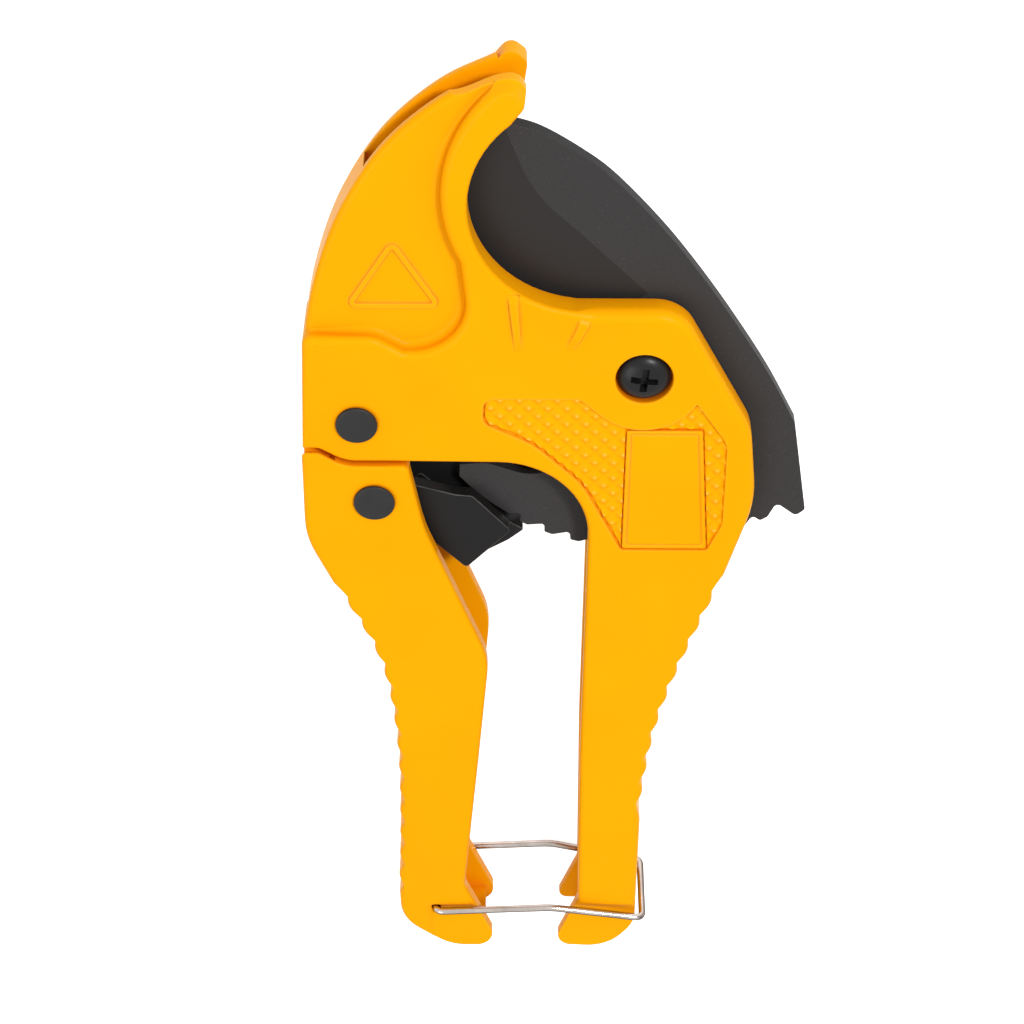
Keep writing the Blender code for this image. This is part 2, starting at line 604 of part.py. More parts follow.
def make_wire():
    """The lock wire: pinned ends in the moving foot, two bent legs and a cross bar."""
    reach = WIRE_PIVOT + WIRE_REACH
    knee = WIRE_PIVOT + WIRE_KNEE
    half = [Vector((*WIRE_PIVOT, WIRE_OUT - WIRE_PIN)), Vector((*WIRE_PIVOT, WIRE_OUT)),
            Vector((*knee, WIRE_OUT)), Vector((*reach, WIRE_OUT - WIRE_TOE_IN))]
    corners = half + [Vector((p.x, p.y, -p.z)) for p in half[::-1]]
    points = [corners[0]]
    for before, tip, after in zip(corners, corners[1:], corners[2:]):
        towards = (before - tip).normalized()
        away = (after - tip).normalized()
        for i in range(5):
            t = i / 4
            points.append(tip + WIRE_BEND * (towards * (1 - t) ** 2 + away * t ** 2))
    points.append(corners[-1])
    return finish(tube("lock_wire", points, WIRE_RADIUS, 2), "lock_wire", BRIGHT_STEEL, 0.2, 1.0)


# Finish and assembly

def finish(piece, name, colour, roughness, metallic):
    piece.name = name
    material = bpy.data.materials.new(name)
    material.use_nodes = True
    shader = material.node_tree.nodes["Principled BSDF"]
    shader.inputs["Base Color"].default_value = colour
    shader.inputs["Roughness"].default_value = roughness
    shader.inputs["Metallic"].default_value = metallic
    piece.data.materials.clear()
    piece.data.materials.append(material)
    if piece.type == "MESH":
        piece.data.shade_smooth()
        piece.data.set_sharp_from_angle(angle=math.radians(35))
    return piece


def hang(piece, parent, pivot, parent_pivot=Vector((0, 0))):
    """Puts a piece's origin on its own axis and parents it there."""
    middle = Vector((*pivot, 0)) * MM
    piece.data.transform(Matrix.Translation(-middle))
    piece.parent = parent
    piece.location = middle - Vector((*parent_pivot, 0)) * MM


def main():
    for old in list(bpy.data.objects):
        bpy.data.objects.remove(old)
    root = bpy.data.objects.new("cutter", None)
    bpy.context.scene.collection.objects.link(root)

    handle = make_handle()
    hang(handle, root, HANDLE_PIVOT)
    pawl = make_pawl()
    hang(pawl, handle, PAWL_PIVOT, HANDLE_PIVOT)
    hang(make_rivet("pawl_rivet", PAWL_PIVOT, HANDLE_HALF), handle, PAWL_PIVOT, HANDLE_PIVOT)
    hang(make_spring("pawl_spring", PAWL_PIVOT, RIVET_SHANK, PAWL_SPRING_WIRE, PAWL_SPRING_TURNS,
                     Vector((-34.8, 5.0)), Vector((-19.7, 5.0))), pawl, PAWL_PIVOT, PAWL_PIVOT)
    hang(make_wire(), handle, WIRE_PIVOT, HANDLE_PIVOT)
    hang(make_blade(), root, BLADE_PIVOT)

    fixed = [make_frame(), make_screw(), make_nut(), make_rivet("handle_rivet", HANDLE_PIVOT, FRAME_HALF)]
    washer = BLADE_HALF + GAP
    fixed.append(ring("blade_bush", BUSH_RADIUS, SHANK_RADIUS + GAP, GAP - BOSS_FACE, BOSS_FACE - GAP, BRIGHT_STEEL))
    hole = BUSH_RADIUS + GAP
    fixed.append(ring("blade_washer_front", WASHER_RADIUS, hole, washer, washer + WASHER_THICKNESS, BRIGHT_STEEL))
    fixed.append(ring("blade_washer_back", WASHER_RADIUS, hole, -washer - WASHER_THICKNESS, -washer, BRIGHT_STEEL))
    fixed.append(make_spring("handle_spring", HANDLE_PIVOT, RIVET_SHANK, HANDLE_SPRING_WIRE, HANDLE_SPRING_TURNS,
                             Vector((-27.0, 16.6)), Vector((-33.4, 35.4))))
    for piece in fixed:
        piece.parent = root
    stand(root)


def stand(root):
    """Moves the tool so that the origin is under the middle of its box, on what it rests on."""
    depsgraph = bpy.context.evaluated_depsgraph_get()
    corners = []
    for piece in root.children_recursive:
        ready = piece.evaluated_get(depsgraph)
        corners += [ready.matrix_world @ vertex.co for vertex in ready.to_mesh().vertices]
        ready.to_mesh_clear()
    low = Vector(min(c[i] for c in corners) for i in range(3))
    high = Vector(max(c[i] for c in corners) for i in range(3))
    root.location = (-(low.x + high.x) / 2, -(low.y + high.y) / 2, -low.z)
    print("origin shift", tuple(round(v, 6) for v in root.location))
    print("size", tuple(round(v, 6) for v in high - low))


main()
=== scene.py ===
"""Ratchet pipe cutter: the finished pieces, their materials, the studio and the camera.

Outlines are in millimetres about the tool's mid plane, with the hook towards +Y and the front face
towards +Z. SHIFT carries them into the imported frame, which is in metres.
"""
import json
import math

import bmesh
import bpy
from mathutils import Matrix, Vector

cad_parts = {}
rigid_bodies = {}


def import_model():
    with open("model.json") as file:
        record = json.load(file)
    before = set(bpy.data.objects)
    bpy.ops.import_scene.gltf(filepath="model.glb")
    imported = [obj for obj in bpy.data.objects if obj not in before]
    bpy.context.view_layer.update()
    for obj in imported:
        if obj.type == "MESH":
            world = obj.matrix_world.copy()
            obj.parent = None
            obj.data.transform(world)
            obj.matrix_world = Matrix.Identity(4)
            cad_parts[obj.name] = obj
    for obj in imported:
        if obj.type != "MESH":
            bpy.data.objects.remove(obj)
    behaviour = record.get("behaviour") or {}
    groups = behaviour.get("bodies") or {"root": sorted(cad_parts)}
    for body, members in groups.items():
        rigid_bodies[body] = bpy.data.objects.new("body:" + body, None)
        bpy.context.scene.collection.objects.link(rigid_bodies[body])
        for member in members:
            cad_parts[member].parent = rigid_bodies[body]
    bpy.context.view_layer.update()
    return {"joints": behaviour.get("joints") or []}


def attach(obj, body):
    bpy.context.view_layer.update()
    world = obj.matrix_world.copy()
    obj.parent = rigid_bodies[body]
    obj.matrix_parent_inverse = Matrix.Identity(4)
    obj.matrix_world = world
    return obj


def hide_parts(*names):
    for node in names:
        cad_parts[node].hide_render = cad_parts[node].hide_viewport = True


for leftover in list(bpy.data.objects):
    bpy.data.objects.remove(leftover)
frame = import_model()

MM = 0.001
GAP = 0.3
ARC_STEP = 5.0
CURVE_STEPS = 10
SHARPEST_CORNER = 0.6

FRAME_HALF = 7.6
HOOK_HALF = 4.7
HANDLE_HALF = 8.6
WALL = 2.7
HANDLE_WALL = 3.0
RIM_STEPS = 8
FOOT_SINK = 0.7
FOOT_SLOPE = 2.0
FOOT_SIDE = 2.2
SLOT_PLAY = 1.1
EAR_WALL = 1.7
RIDGE_DEPTH = 1.0
RIDGE_SAMPLES = 10
LOW_RIDGE_SLOPE = 3.5
LOW_RIDGE_ROOT = 0.03
LOW_RIDGE_STEPS = 14
EASE_ROWS = 8

BLADE_PIVOT = Vector((24.0, 36.0))
HANDLE_PIVOT = Vector((-28.4, 25.9))
PAWL_PIVOT = Vector((-25.6, 8.9))
WIRE_PIVOT = Vector((-15.8, -98.3))

SEAT_CENTRE = Vector((13.5, 71.5))
SEAT_RADIUS = 21.3
LAND_CENTRE = Vector((15.5, 73.5))
LAND_RADIUS = 28.0
LOBE_CENTRE = Vector((-18.4, 51.5))
LOBE_RADIUS = 10.1

BLADE_HALF = 1.4
EDGE_HALF = 0.2
TOOTH_COUNT = 10
TOOTH_PITCH = 7.08
TOOTH_FIRST = -120.0
TOOTH_RADIUS = 43.4
TOOTH_HEIGHT = 1.75
TAIL_RADIUS = 43.0
CORNER_RADIUS = 46.4
HUB_RADIUS = 13.0

SHANK_RADIUS = 2.5
BUSH_RADIUS = 4.0
WASHER_RADIUS = 6.0
WASHER_THICKNESS = 0.5
BOSS_RADIUS = 8.0
HEAD_RADIUS = 4.8
HEAD_HEIGHT = 2.7
HEAD_POCKET = 2.4
HEAD_POCKET_PLAY = 0.4
NUT_FLATS = 8.0
NUT_HEIGHT = 4.0
NUT_SINK = 2.6

RIVET_SHANK = 2.5
RIVET_HEAD_RADIUS = 3.85
RIVET_HEAD = 0.6
RIVET_STEPS = 4
EAR_RADIUS = 6.8
SPLIT_GAP = 0.5
SPLIT_RADIUS = 8.6
SPLIT_TURN = -120.0
SHOULDER = Vector((-35.6, 20.2))
SHOULDER_ROUND = 2.0
LAP_START = -118.0

PAWL_HUB = 5.4
CHEEK_PLAY = 0.5
CURL_GAP = 0.5
CURL_STEPS = 36
LEG_BEND = 0.7

WIRE_RADIUS = 0.72
WIRE_TOE_IN = 0.9
WIRE_BEND = 1.7
WIRE_BEND_STEPS = 12
WIRE_REACH = Vector((43.3, -2.4))
WIRE_KNEE = Vector((24.0, 1.4))
WIRE_PIN = 3.2
WIRE_END_NARROW = 0.6
WIRE_END_LENGTH = 0.35

CAVITY = FRAME_HALF - WALL
TONGUE = CAVITY - GAP
HANDLE_CAVITY = HANDLE_HALF - HANDLE_WALL
PAWL_HALF = min(CAVITY, HANDLE_CAVITY) - GAP
SLOT_HALF = BLADE_HALF + SLOT_PLAY
BOSS_FACE = BLADE_HALF + WASHER_THICKNESS + 2 * GAP
WIRE_OUT = HANDLE_HALF + GAP + WIRE_RADIUS
CUT_OVER = 2.0
SLIVER = 0.02
WELD = 0.0005
BELOW_FEET = -120.0
SHARP_ANGLE = math.radians(32)

hinge = next(joint for joint in frame["joints"] if joint["name"] == "handle_hinge")
SHIFT = Vector(hinge["pos_m"]) - Vector((*HANDLE_PIVOT, 0)) * MM


# Outlines

def polar(centre, radius, angle):
    turn = math.radians(angle)
    return Vector((centre.x + radius * math.cos(turn), centre.y + radius * math.sin(turn)))


def arc(centre, radius, start, end):
    steps = max(1, math.ceil(abs(end - start) / ARC_STEP))
    return [polar(centre, radius, start + (end - start) * i / steps) for i in range(steps + 1)]


def circle(centre, radius):
    return arc(centre, radius, 0, 360)[:-1]


def points(*pairs):
    return [Vector(pair) for pair in pairs]


def heading(path, i):
    """The direction of an open path at one of its points."""
    return (path[min(i + 1, len(path) - 1)] - path[max(i - 1, 0)]).normalized()


def left_of(along):
    return Vector((-along.y, along.x))


def quarter(steps):
    """The cosine and the sine at each step of a quarter turn."""
    turns = [math.pi / 2 * i / steps for i in range(steps + 1)]
    return [(math.cos(turn), math.sin(turn)) for turn in turns]


def ease(share):
    """An S-shaped rise from 0 to 1."""
    return share * share * (3 - 2 * share)


def curve(knots):
    """A smooth open curve through the knots."""
    knots = [Vector(p) for p in knots]
    knots = [2 * knots[0] - knots[1]] + knots + [2 * knots[-1] - knots[-2]]
    path = []
    for a, b, c, d in zip(knots, knots[1:], knots[2:], knots[3:]):
        for i in range(CURVE_STEPS):
            t = i / CURVE_STEPS
            path.append(0.5 * (2 * b + (c - a) * t + (2 * a - 5 * b + 4 * c - d) * t ** 2
                               + (3 * b - a - 3 * c + d) * t ** 3))
    return path + [knots[-2]]


def corner_arc(before, corner, after):
    """The round that takes off one corner (x, y, radius) between two neighbours."""
    tip = Vector(corner[:2])
    if corner[2] == 0:
        return [tip]
    towards = (Vector(before[:2]) - tip).normalized()
    away = (Vector(after[:2]) - tip).normalized()
    half = towards.angle(away) / 2
    setback = corner[2] / math.tan(half)
    middle = tip + (towards + away).normalized() * corner[2] / math.sin(half)
    first = tip + towards * setback - middle
    sweep = first.angle_signed(tip + away * setback - middle)
    steps = max(2, math.ceil(abs(math.degrees(sweep)) / ARC_STEP))
    return [middle + Matrix.Rotation(-sweep * i / steps, 2) @ first for i in range(steps + 1)]


def rounded(corners):
    """An open run of corners: the inner ones are rounded off, the ends are kept."""
    path = [Vector(corners[0][:2])]
    for before, corner, after in zip(corners, corners[1:], corners[2:]):
        path += corner_arc(before, corner, after)
    return path + [Vector(corners[-1][:2])]


def rounded_loop(corners):
    """A closed run of corners, all of them rounded off."""
    path = []
    for i, corner in enumerate(corners):
        path += corner_arc(corners[i - 1], corner, corners[(i + 1) % len(corners)])
    return path


def even(path, count):
    """The path again with count points spaced evenly along it."""
    reach = [0.0]
    for a, b in zip(path, path[1:]):
        reach.append(reach[-1] + (b - a).length)
    spaced = []
    for i in range(count):
        want = reach[-1] * i / (count - 1)
        k = max(j for j in range(len(path) - 1) if reach[j] <= want)
        spaced.append(path[k].lerp(path[k + 1], (want - reach[k]) / (reach[k + 1] - reach[k])))
    return spaced


def grip(knots, count):
    """A curved grip edge with finger ridges: the ridged points and the plain ones under them."""
    plain = even(curve(knots), count * RIDGE_SAMPLES + 1)
    ridged = []
    for i, point in enumerate(plain):
        dip = 1 - abs(math.sin(math.pi * i / RIDGE_SAMPLES))
        ridged.append(point - left_of(heading(plain, i)) * RIDGE_DEPTH * dip)
    return ridged, plain


def inset(outline, distance):
    """The closed outline moved to the left of its travel, by one distance or by one for each point."""
    distances = distance if isinstance(distance, list) else [distance] * len(outline)
    moved = []
    for i, point in enumerate(outline):
        before = (point - outline[i - 1]).normalized()
        after = (outline[(i + 1) % len(outline)] - point).normalized()
        along = (before + after).normalized()
        widen = max(SHARPEST_CORNER, along.dot(after))
        moved.append(point + left_of(along) * distances[i] / widen)
    return moved


def ramp(path, first, last):
    """One number for each point of the path, changing evenly from first to last."""
    return [first + (last - first) * i / max(1, len(path) - 1) for i in range(len(path))]


def anticlockwise(outline):
    pairs = zip(outline, outline[1:] + outline[:1])
    return sum(a.x * b.y - b.x * a.y for a, b in pairs) > 0


# Solids

def new_piece(shape):
    bmesh.ops.recalc_face_normals(shape, faces=shape.faces)
    mesh = bpy.data.meshes.new("piece")
    shape.to_mesh(mesh)
    shape.free()
    piece = bpy.data.objects.new("piece", mesh)
    bpy.context.scene.collection.objects.link(piece)
    return piece


def skin(rings, closed=False, weld=0.0):
    """A solid through equal rings of 3-D points. A closed one joins its last ring to its first."""
    shape = bmesh.new()
    loops = [[shape.verts.new(p) for p in ring] for ring in rings]
    pairs = list(zip(loops, loops[1:]))
    if closed:
        pairs.append((loops[-1], loops[0]))
    for low, high in pairs:
        for i in range(len(low)):
            shape.faces.new((low[i - 1], low[i], high[i], high[i - 1]))
    if not closed:
        shape.faces.new(reversed(loops[0]))
        shape.faces.new(loops[-1])
    if weld:
        bmesh.ops.remove_doubles(shape, verts=shape.verts, dist=weld)
    return new_piece(shape)


def level(loop, height):
    return [Vector((p.x, p.y, height)) for p in loop]


def stack(loops):
    return skin([level(loop, height) for loop, height in loops])


def prism(outline, low, high):
    return stack([(outline, low), (outline, high)])


def casting(outline, plain, half, rims, flares=None, base=0.0):
    """A cast plate with a quarter round along both of its faces, whose radius is given for each point.

    The flares fillet its side out onto a thinner panel whose face is at the base height.
    """
    flares = flares or [0.0] * len(rims)
    if not anticlockwise(plain):
        outline, plain, rims, flares = outline[::-1], plain[::-1], rims[::-1], flares[::-1]
    face = inset(plain, rims)
    spread = inset(plain, [-flare for flare in flares])
    foot = [side + wide - straight for side, wide, straight in zip(outline, spread, plain)]
    rings = []
    for run, rise in quarter(RIM_STEPS) if base else []:
        rings.append([Vector((*wide.lerp(side, rise), base + flare * (1 - run)))
                      for side, wide, flare in zip(outline, foot, flares)])
    for run, rise in quarter(RIM_STEPS):
        rings.append([Vector((*side.lerp(top, 1 - run), half - rim * (1 - rise)))
                      for side, top, rim in zip(outline, face, rims)])
    under = [[Vector((p.x, p.y, -p.z)) for p in ring] for ring in rings[::-1]]
    return skin(under + rings, weld=WELD)


def turned(centre, profile):
    """A solid turned about a Z axis: the profile is (radius, z) from bottom to top."""
    return stack([(circle(centre, radius), z) for radius, z in profile])


def rod(centre, radius, low, high):
    return turned(centre, [(radius, low), (radius, high)])


def combine(piece, tool, operation):
    cutter = piece.modifiers.new("combine", "BOOLEAN")
    cutter.operation = operation
    cutter.object = tool
    depsgraph = bpy.context.evaluated_depsgraph_get()
    mesh = bpy.data.meshes.new_from_object(piece.evaluated_get(depsgraph))
    piece.modifiers.clear()
    piece.data = mesh
    bpy.data.objects.remove(tool)


def cut(piece, *tools):
    for tool in tools:
        combine(piece, tool, "DIFFERENCE")


def add(piece, *tools):
    for tool in tools:
        combine(piece, tool, "UNION")


def low_ridge(path, widths, heights, base, closed=False):
    """A low ridge along a path on a face, with a flat top and sloping sides."""
    rings = []
    for i, point in enumerate(path):
        before = path[i - 1] if i or closed else point
        after = path[(i + 1) % len(path)] if i + 1 < len(path) or closed else point
        across = left_of((after - before).normalized())
        ring = []
        for k in range(LOW_RIDGE_STEPS + 1):
            share = 2 * k / LOW_RIDGE_STEPS - 1
            spot = point + across * widths[i] * share
            rise = heights[i] * min(1.0, (1 - abs(share)) * LOW_RIDGE_SLOPE)
            ring.append(Vector((spot.x, spot.y, base - LOW_RIDGE_ROOT + rise)))
        rings.append(ring)
    return skin(rings, closed)


def wire(path, radius, sides=14):
    """A round wire along 3-D points, which narrows at its two ends."""
    ahead = (path[1] - path[0]).normalized()
    side = ahead.orthogonal().normalized()
    rings = []
    for i, point in enumerate(path):
        along = heading(path, i)
        side = (ahead.rotation_difference(along) @ side).normalized()
        side = (side - along * side.dot(along)).normalized()
        ahead = along
        across = along.cross(side)
        turns = [2 * math.pi * k / sides for k in range(sides)]
        ring = [(side * math.cos(t) + across * math.sin(t)) * radius for t in turns]
        if i == 0:
            rings.append([point + WIRE_END_NARROW * spoke for spoke in ring])
            point = point + along * WIRE_END_LENGTH * radius
        if i == len(path) - 1:
            rings.append([point - along * WIRE_END_LENGTH * radius + spoke for spoke in ring])
            ring = [WIRE_END_NARROW * spoke for spoke in ring]
        rings.append([point + spoke for spoke in ring])
    return skin(rings)


# Shader maths

EDGE_FAINT = 0.02
EDGE_FULL = 0.25


class Value:
    """A shader socket that takes part in Python sums."""

    def __init__(self, finish, socket):
        self.finish = finish
        self.socket = socket

    def math(self, operation, first, second):
        return self.finish.node("ShaderNodeMath", {"operation": operation}, {0: first, 1: second})

    def __add__(self, other):
        return self.math("ADD", self, other)

    def __sub__(self, other):
        return self.math("SUBTRACT", self, other)

    def __rsub__(self, other):
        return self.math("SUBTRACT", other, self)

    def __mul__(self, other):
        return self.math("MULTIPLY", self, other)

    def at_least(self, other):
        return self.math("MAXIMUM", self, other)

    __radd__ = __add__
    __rmul__ = __mul__


class Finish:
    """One material and the nodes that make it."""

    def __init__(self, name, owner=None):
        self.owner = owner or bpy.data.materials.new(name)
        self.owner.use_nodes = True
        self.tree = self.owner.node_tree
        self.shader = self.tree.nodes.get("Principled BSDF")

    def node(self, kind, settings, sockets, output=0):
        """A node with its settings made first, then its sockets set or linked."""
        made = self.tree.nodes.new(kind)
        for name, setting in settings.items():
            setattr(made, name, setting)
        for name, feed in sockets.items():
            self.feed(made.inputs[name], feed)
        return Value(self, made.outputs[output])

    def feed(self, socket, feed):
        if isinstance(feed, Value):
            self.tree.links.new(feed.socket, socket)
        else:
            socket.default_value = feed

    def coat(self, **sockets):
        """Feeds the main shader, with underscores for spaces in its socket names. Gives the material."""
        for name, feed in sockets.items():
            self.feed(self.shader.inputs[name.replace("_", " ")], feed)
        return self.owner

    def place(self):
        """Where a point is on its own piece, in metres."""
        return self.node("ShaderNodeTexCoord", {}, {}, "Object")

    def axis(self, vector, name):
        """The X, Y or Z part of a vector."""
        return self.node("ShaderNodeSeparateXYZ", {}, {"Vector": vector}, name)

    def noise(self, scale, detail=2.0, stretch=(1.0, 1.0, 1.0)):
        """Cloudy noise whose scale is in waves for each metre of the piece."""
        place = self.node("ShaderNodeMapping", {}, {"Vector": self.place(), "Scale": stretch})
        return self.node("ShaderNodeTexNoise", {}, {"Vector": place, "Scale": scale, "Detail": detail})

    def between(self, mask, low, high):
        """The mask stretched so that low becomes 0 and high becomes 1."""
        return self.node("ShaderNodeMapRange", {}, {"Value": mask, "From Min": low, "From Max": high})

    def mix(self, mask, first, second):
        return self.node("ShaderNodeMix", {"data_type": "RGBA"}, {0: mask, 6: first, 7: second}, 2)

    def soft_edges(self, radius):
        return self.node("ShaderNodeBevel", {"samples": 6}, {"Radius": radius})

    def edges(self, softened):
        """1 along sharp outer edges and 0 on open faces."""
        flat = self.node("ShaderNodeNewGeometry", {}, {}, "Normal")
        sockets = {0: softened, 1: flat}
        along = self.node("ShaderNodeVectorMath", {"operation": "DOT_PRODUCT"}, sockets, "Value")
        return self.between(1 - along, EDGE_FAINT, EDGE_FULL)

    def shelter(self, reach):
        """1 deep in a corner or a slot and 0 in the open, feeling as far as the reach."""
        return 1 - self.node("ShaderNodeAmbientOcclusion", {"samples": 8}, {"Distance": reach}, "AO")

    def shown(self):
        """1 for what the camera, a gloss or a clear piece sees, and 0 for plain lighting."""
        seen = self.node("ShaderNodeLightPath", {}, {}, "Is Camera Ray")
        for kind in ("Is Glossy Ray", "Is Transmission Ray"):
            seen = seen.at_least(self.node("ShaderNodeLightPath", {}, {}, kind))
        return seen

    def bump(self, height, depth, strength, normal=None):
        sockets = {"Height": height, "Distance": depth, "Strength": strength}
        if normal:
            sockets["Normal"] = normal
        return self.node("ShaderNodeBump", {}, sockets)


# Materials

YELLOW = (0.95, 0.395, 0.001, 1.0)
YELLOW_DEEP = (0.93, 0.375, 0.001, 1.0)
# The next three colours are painted light: a rim highlight, a tip highlight and a deeper orange for shade.
YELLOW_RIM_HIGHLIGHT = (0.98, 0.53, 0.06, 1.0)
YELLOW_TIP_HIGHLIGHT = (0.98, 0.60, 0.12, 1.0)
YELLOW_PAINTED_SHADE = (0.72, 0.15, 0.001, 1.0)
CHARCOAL = (0.038, 0.036, 0.036, 1.0)
# Painted shade for the blade's flanks and its ground bevel.
CHARCOAL_FLANK_SHADE = (0.006, 0.0055, 0.0055, 1.0)
CHARCOAL_BEVEL_SHADE = (0.0265, 0.0245, 0.024, 1.0)
CHARCOAL_SPARK = (0.075, 0.072, 0.07, 1.0)
# Painted highlight colour for the edges of the blade and the rivets.
CHARCOAL_EDGE_HIGHLIGHT = (0.11, 0.106, 0.102, 1.0)
OXIDE = (0.011, 0.0105, 0.0105, 1.0)
# Painted highlight colour for the edges of the screw and the nut.
OXIDE_EDGE_HIGHLIGHT = (0.05, 0.048, 0.047, 1.0)
RIVET_GREY = (0.024, 0.023, 0.023, 1.0)
RIVET_DARK = (0.016, 0.0155, 0.0155, 1.0)
NICKEL = (0.64, 0.575, 0.53, 1.0)
NICKEL_DULL = (0.46, 0.405, 0.365, 1.0)
# Painted dark reflection for the wire's sides, also used as its specular tint.
NICKEL_DARK_REFLECTION = (0.19, 0.165, 0.15, 1.0)
# Painted highlight colour for the pawl's folded edges.
FOLD_HIGHLIGHT = (0.2, 0.195, 0.19, 1.0)
STEEL = (0.55, 0.54, 0.53, 1.0)
STEEL_DULL = (0.38, 0.37, 0.36, 1.0)
# How far below the pad's tips their painted highlight fades out.
TIP_HIGHLIGHT_DEPTH = 0.3 * MM
PAINTED_SHADE_REACH = 6 * MM


def yellow_paint(name, highlight_level=None):
    """Sprayed enamel with a slight orange peel, a painted highlight along the arrises and painted shade, a
    deeper orange, in the corners.

    Where a highlight level is given, what stands up to it gets a painted highlight instead, paler towards
    its top.
    """
    paint = Finish(name)
    cloud = paint.noise(45.0)
    peel = paint.noise(900.0, detail=1.0)
    cast = paint.noise(140.0, detail=1.0)
    softened = paint.soft_edges(0.35 * MM)
    body = paint.mix(paint.between(cloud, 0.3, 0.7), YELLOW_DEEP, YELLOW)
    if highlight_level:
        # Painted highlight on the pyramid tips: the higher a point stands, the paler it is.
        painted_highlight = paint.between(paint.axis(paint.place(), "Z"), highlight_level - TIP_HIGHLIGHT_DEPTH, highlight_level)
        colour = paint.mix(painted_highlight * painted_highlight, body, YELLOW_TIP_HIGHLIGHT)
    else:
        # Painted highlight: the rims turn paler where the wide bevel finds an edge.
        thin = paint.edges(paint.soft_edges(0.9 * MM)) * paint.between(cloud, 0.2, 0.6) * 0.55
        painted = paint.mix(thin, body, YELLOW_RIM_HIGHLIGHT)
        # Painted shade: corners, slots and spots near other pieces turn a deeper orange.
        painted_shade = paint.between(paint.shelter(PAINTED_SHADE_REACH), 0.1, 0.9)
        colour = paint.mix(painted_shade, painted, YELLOW_PAINTED_SHADE)
    relief = paint.bump(peel * 0.6 + cast, depth=0.04 * MM, normal=softened, strength=0.35)
    return paint.coat(Base_Color=colour, Roughness=0.25 + peel * 0.1, Normal=relief,
                      Specular_IOR_Level=0.03)


def blade_coat():
    """Charcoal coat with a fine sparkle, painted shade on the bevel and the flanks, and a painted highlight
    along the edges.
    """
    coat = Finish("blade_coat")
    grain = coat.noise(5200.0, detail=1.0)
    cloud = coat.noise(70.0, detail=3.0)
    spark = coat.between(coat.noise(2600.0), 0.62, 0.75)
    softened = coat.soft_edges(0.2 * MM)
    # Painted highlight along the blade's edges.
    painted_highlight = coat.edges(softened) * coat.between(cloud, 0.3, 0.7) * 0.8
    # Painted shade: faces that lean away from the flat sides are darker, the bevel a little and the flanks
    # a lot.
    upward = coat.axis(coat.node("ShaderNodeNewGeometry", {}, {}, "True Normal"), "Z")
    lean = 1 - upward * upward
    ground = coat.between(lean, 0.0002, 0.0012)
    flank_shade = coat.between(lean, 0.4, 0.9)
    body = coat.mix(ground, coat.mix(spark * 0.5, CHARCOAL, CHARCOAL_SPARK), CHARCOAL_BEVEL_SHADE)
    body = coat.mix(flank_shade, body, CHARCOAL_FLANK_SHADE)
    relief = coat.bump(grain, depth=0.03 * MM, normal=softened, strength=0.3)
    return coat.coat(Base_Color=coat.mix(painted_highlight, body, CHARCOAL_EDGE_HIGHLIGHT), Roughness=0.42 + grain * 0.16,
                     Normal=relief, Specular_IOR_Level=0.12)


def pawl_coat():
    """Smooth black coat on the pawl, with a painted highlight along its folded edges."""
    coat = Finish("pawl_coat")
    grain = coat.noise(3000.0, detail=1.0)
    cloud = coat.noise(160.0)
    softened = coat.soft_edges(0.4 * MM)
    # Painted highlight along the folded edges.
    painted_highlight = coat.edges(softened) * coat.between(cloud, 0.2, 0.6)
    relief = coat.bump(grain, depth=0.02 * MM, normal=softened, strength=0.25)
    return coat.coat(Base_Color=coat.mix(painted_highlight, OXIDE, FOLD_HIGHLIGHT), Roughness=0.36 + cloud * 0.12,
                     Normal=relief, Specular_IOR_Level=0.14)


def black_oxide():
    """Oiled black oxide on the screw and the nut, with a painted highlight along their edges."""
    oxide = Finish("black_oxide")
    cloud = oxide.noise(400.0, detail=3.0)
    softened = oxide.soft_edges(0.15 * MM)
    # Painted highlight along the edges.
    painted_highlight = oxide.edges(softened) * oxide.between(cloud, 0.35, 0.65) * 0.6
    relief = oxide.bump(cloud, depth=0.01 * MM, normal=softened, strength=0.3)
    return oxide.coat(Base_Color=oxide.mix(painted_highlight, OXIDE, OXIDE_EDGE_HIGHLIGHT), Roughness=0.27 + cloud * 0.14,
                      Normal=relief, Specular_IOR_Level=0.2)


def rivet_steel():
    """Blackened rivet heads, cloudy and finely grained, with a painted highlight along their edges."""
    steel = Finish("rivet_steel")
    cloud = steel.noise(500.0, detail=3.0)
    grain = steel.noise(4000.0, detail=1.0)
    softened = steel.soft_edges(0.2 * MM)
    # Painted highlight along the rivet heads' edges.
    painted_highlight = steel.edges(softened) * 0.5
    body = steel.mix(cloud, RIVET_DARK, RIVET_GREY)
    relief = steel.bump(grain, depth=0.02 * MM, normal=softened, strength=0.3)
    return steel.coat(Base_Color=steel.mix(painted_highlight, body, CHARCOAL_EDGE_HIGHLIGHT), Roughness=0.4 + cloud * 0.15,
                      Normal=relief, Specular_IOR_Level=0.25)


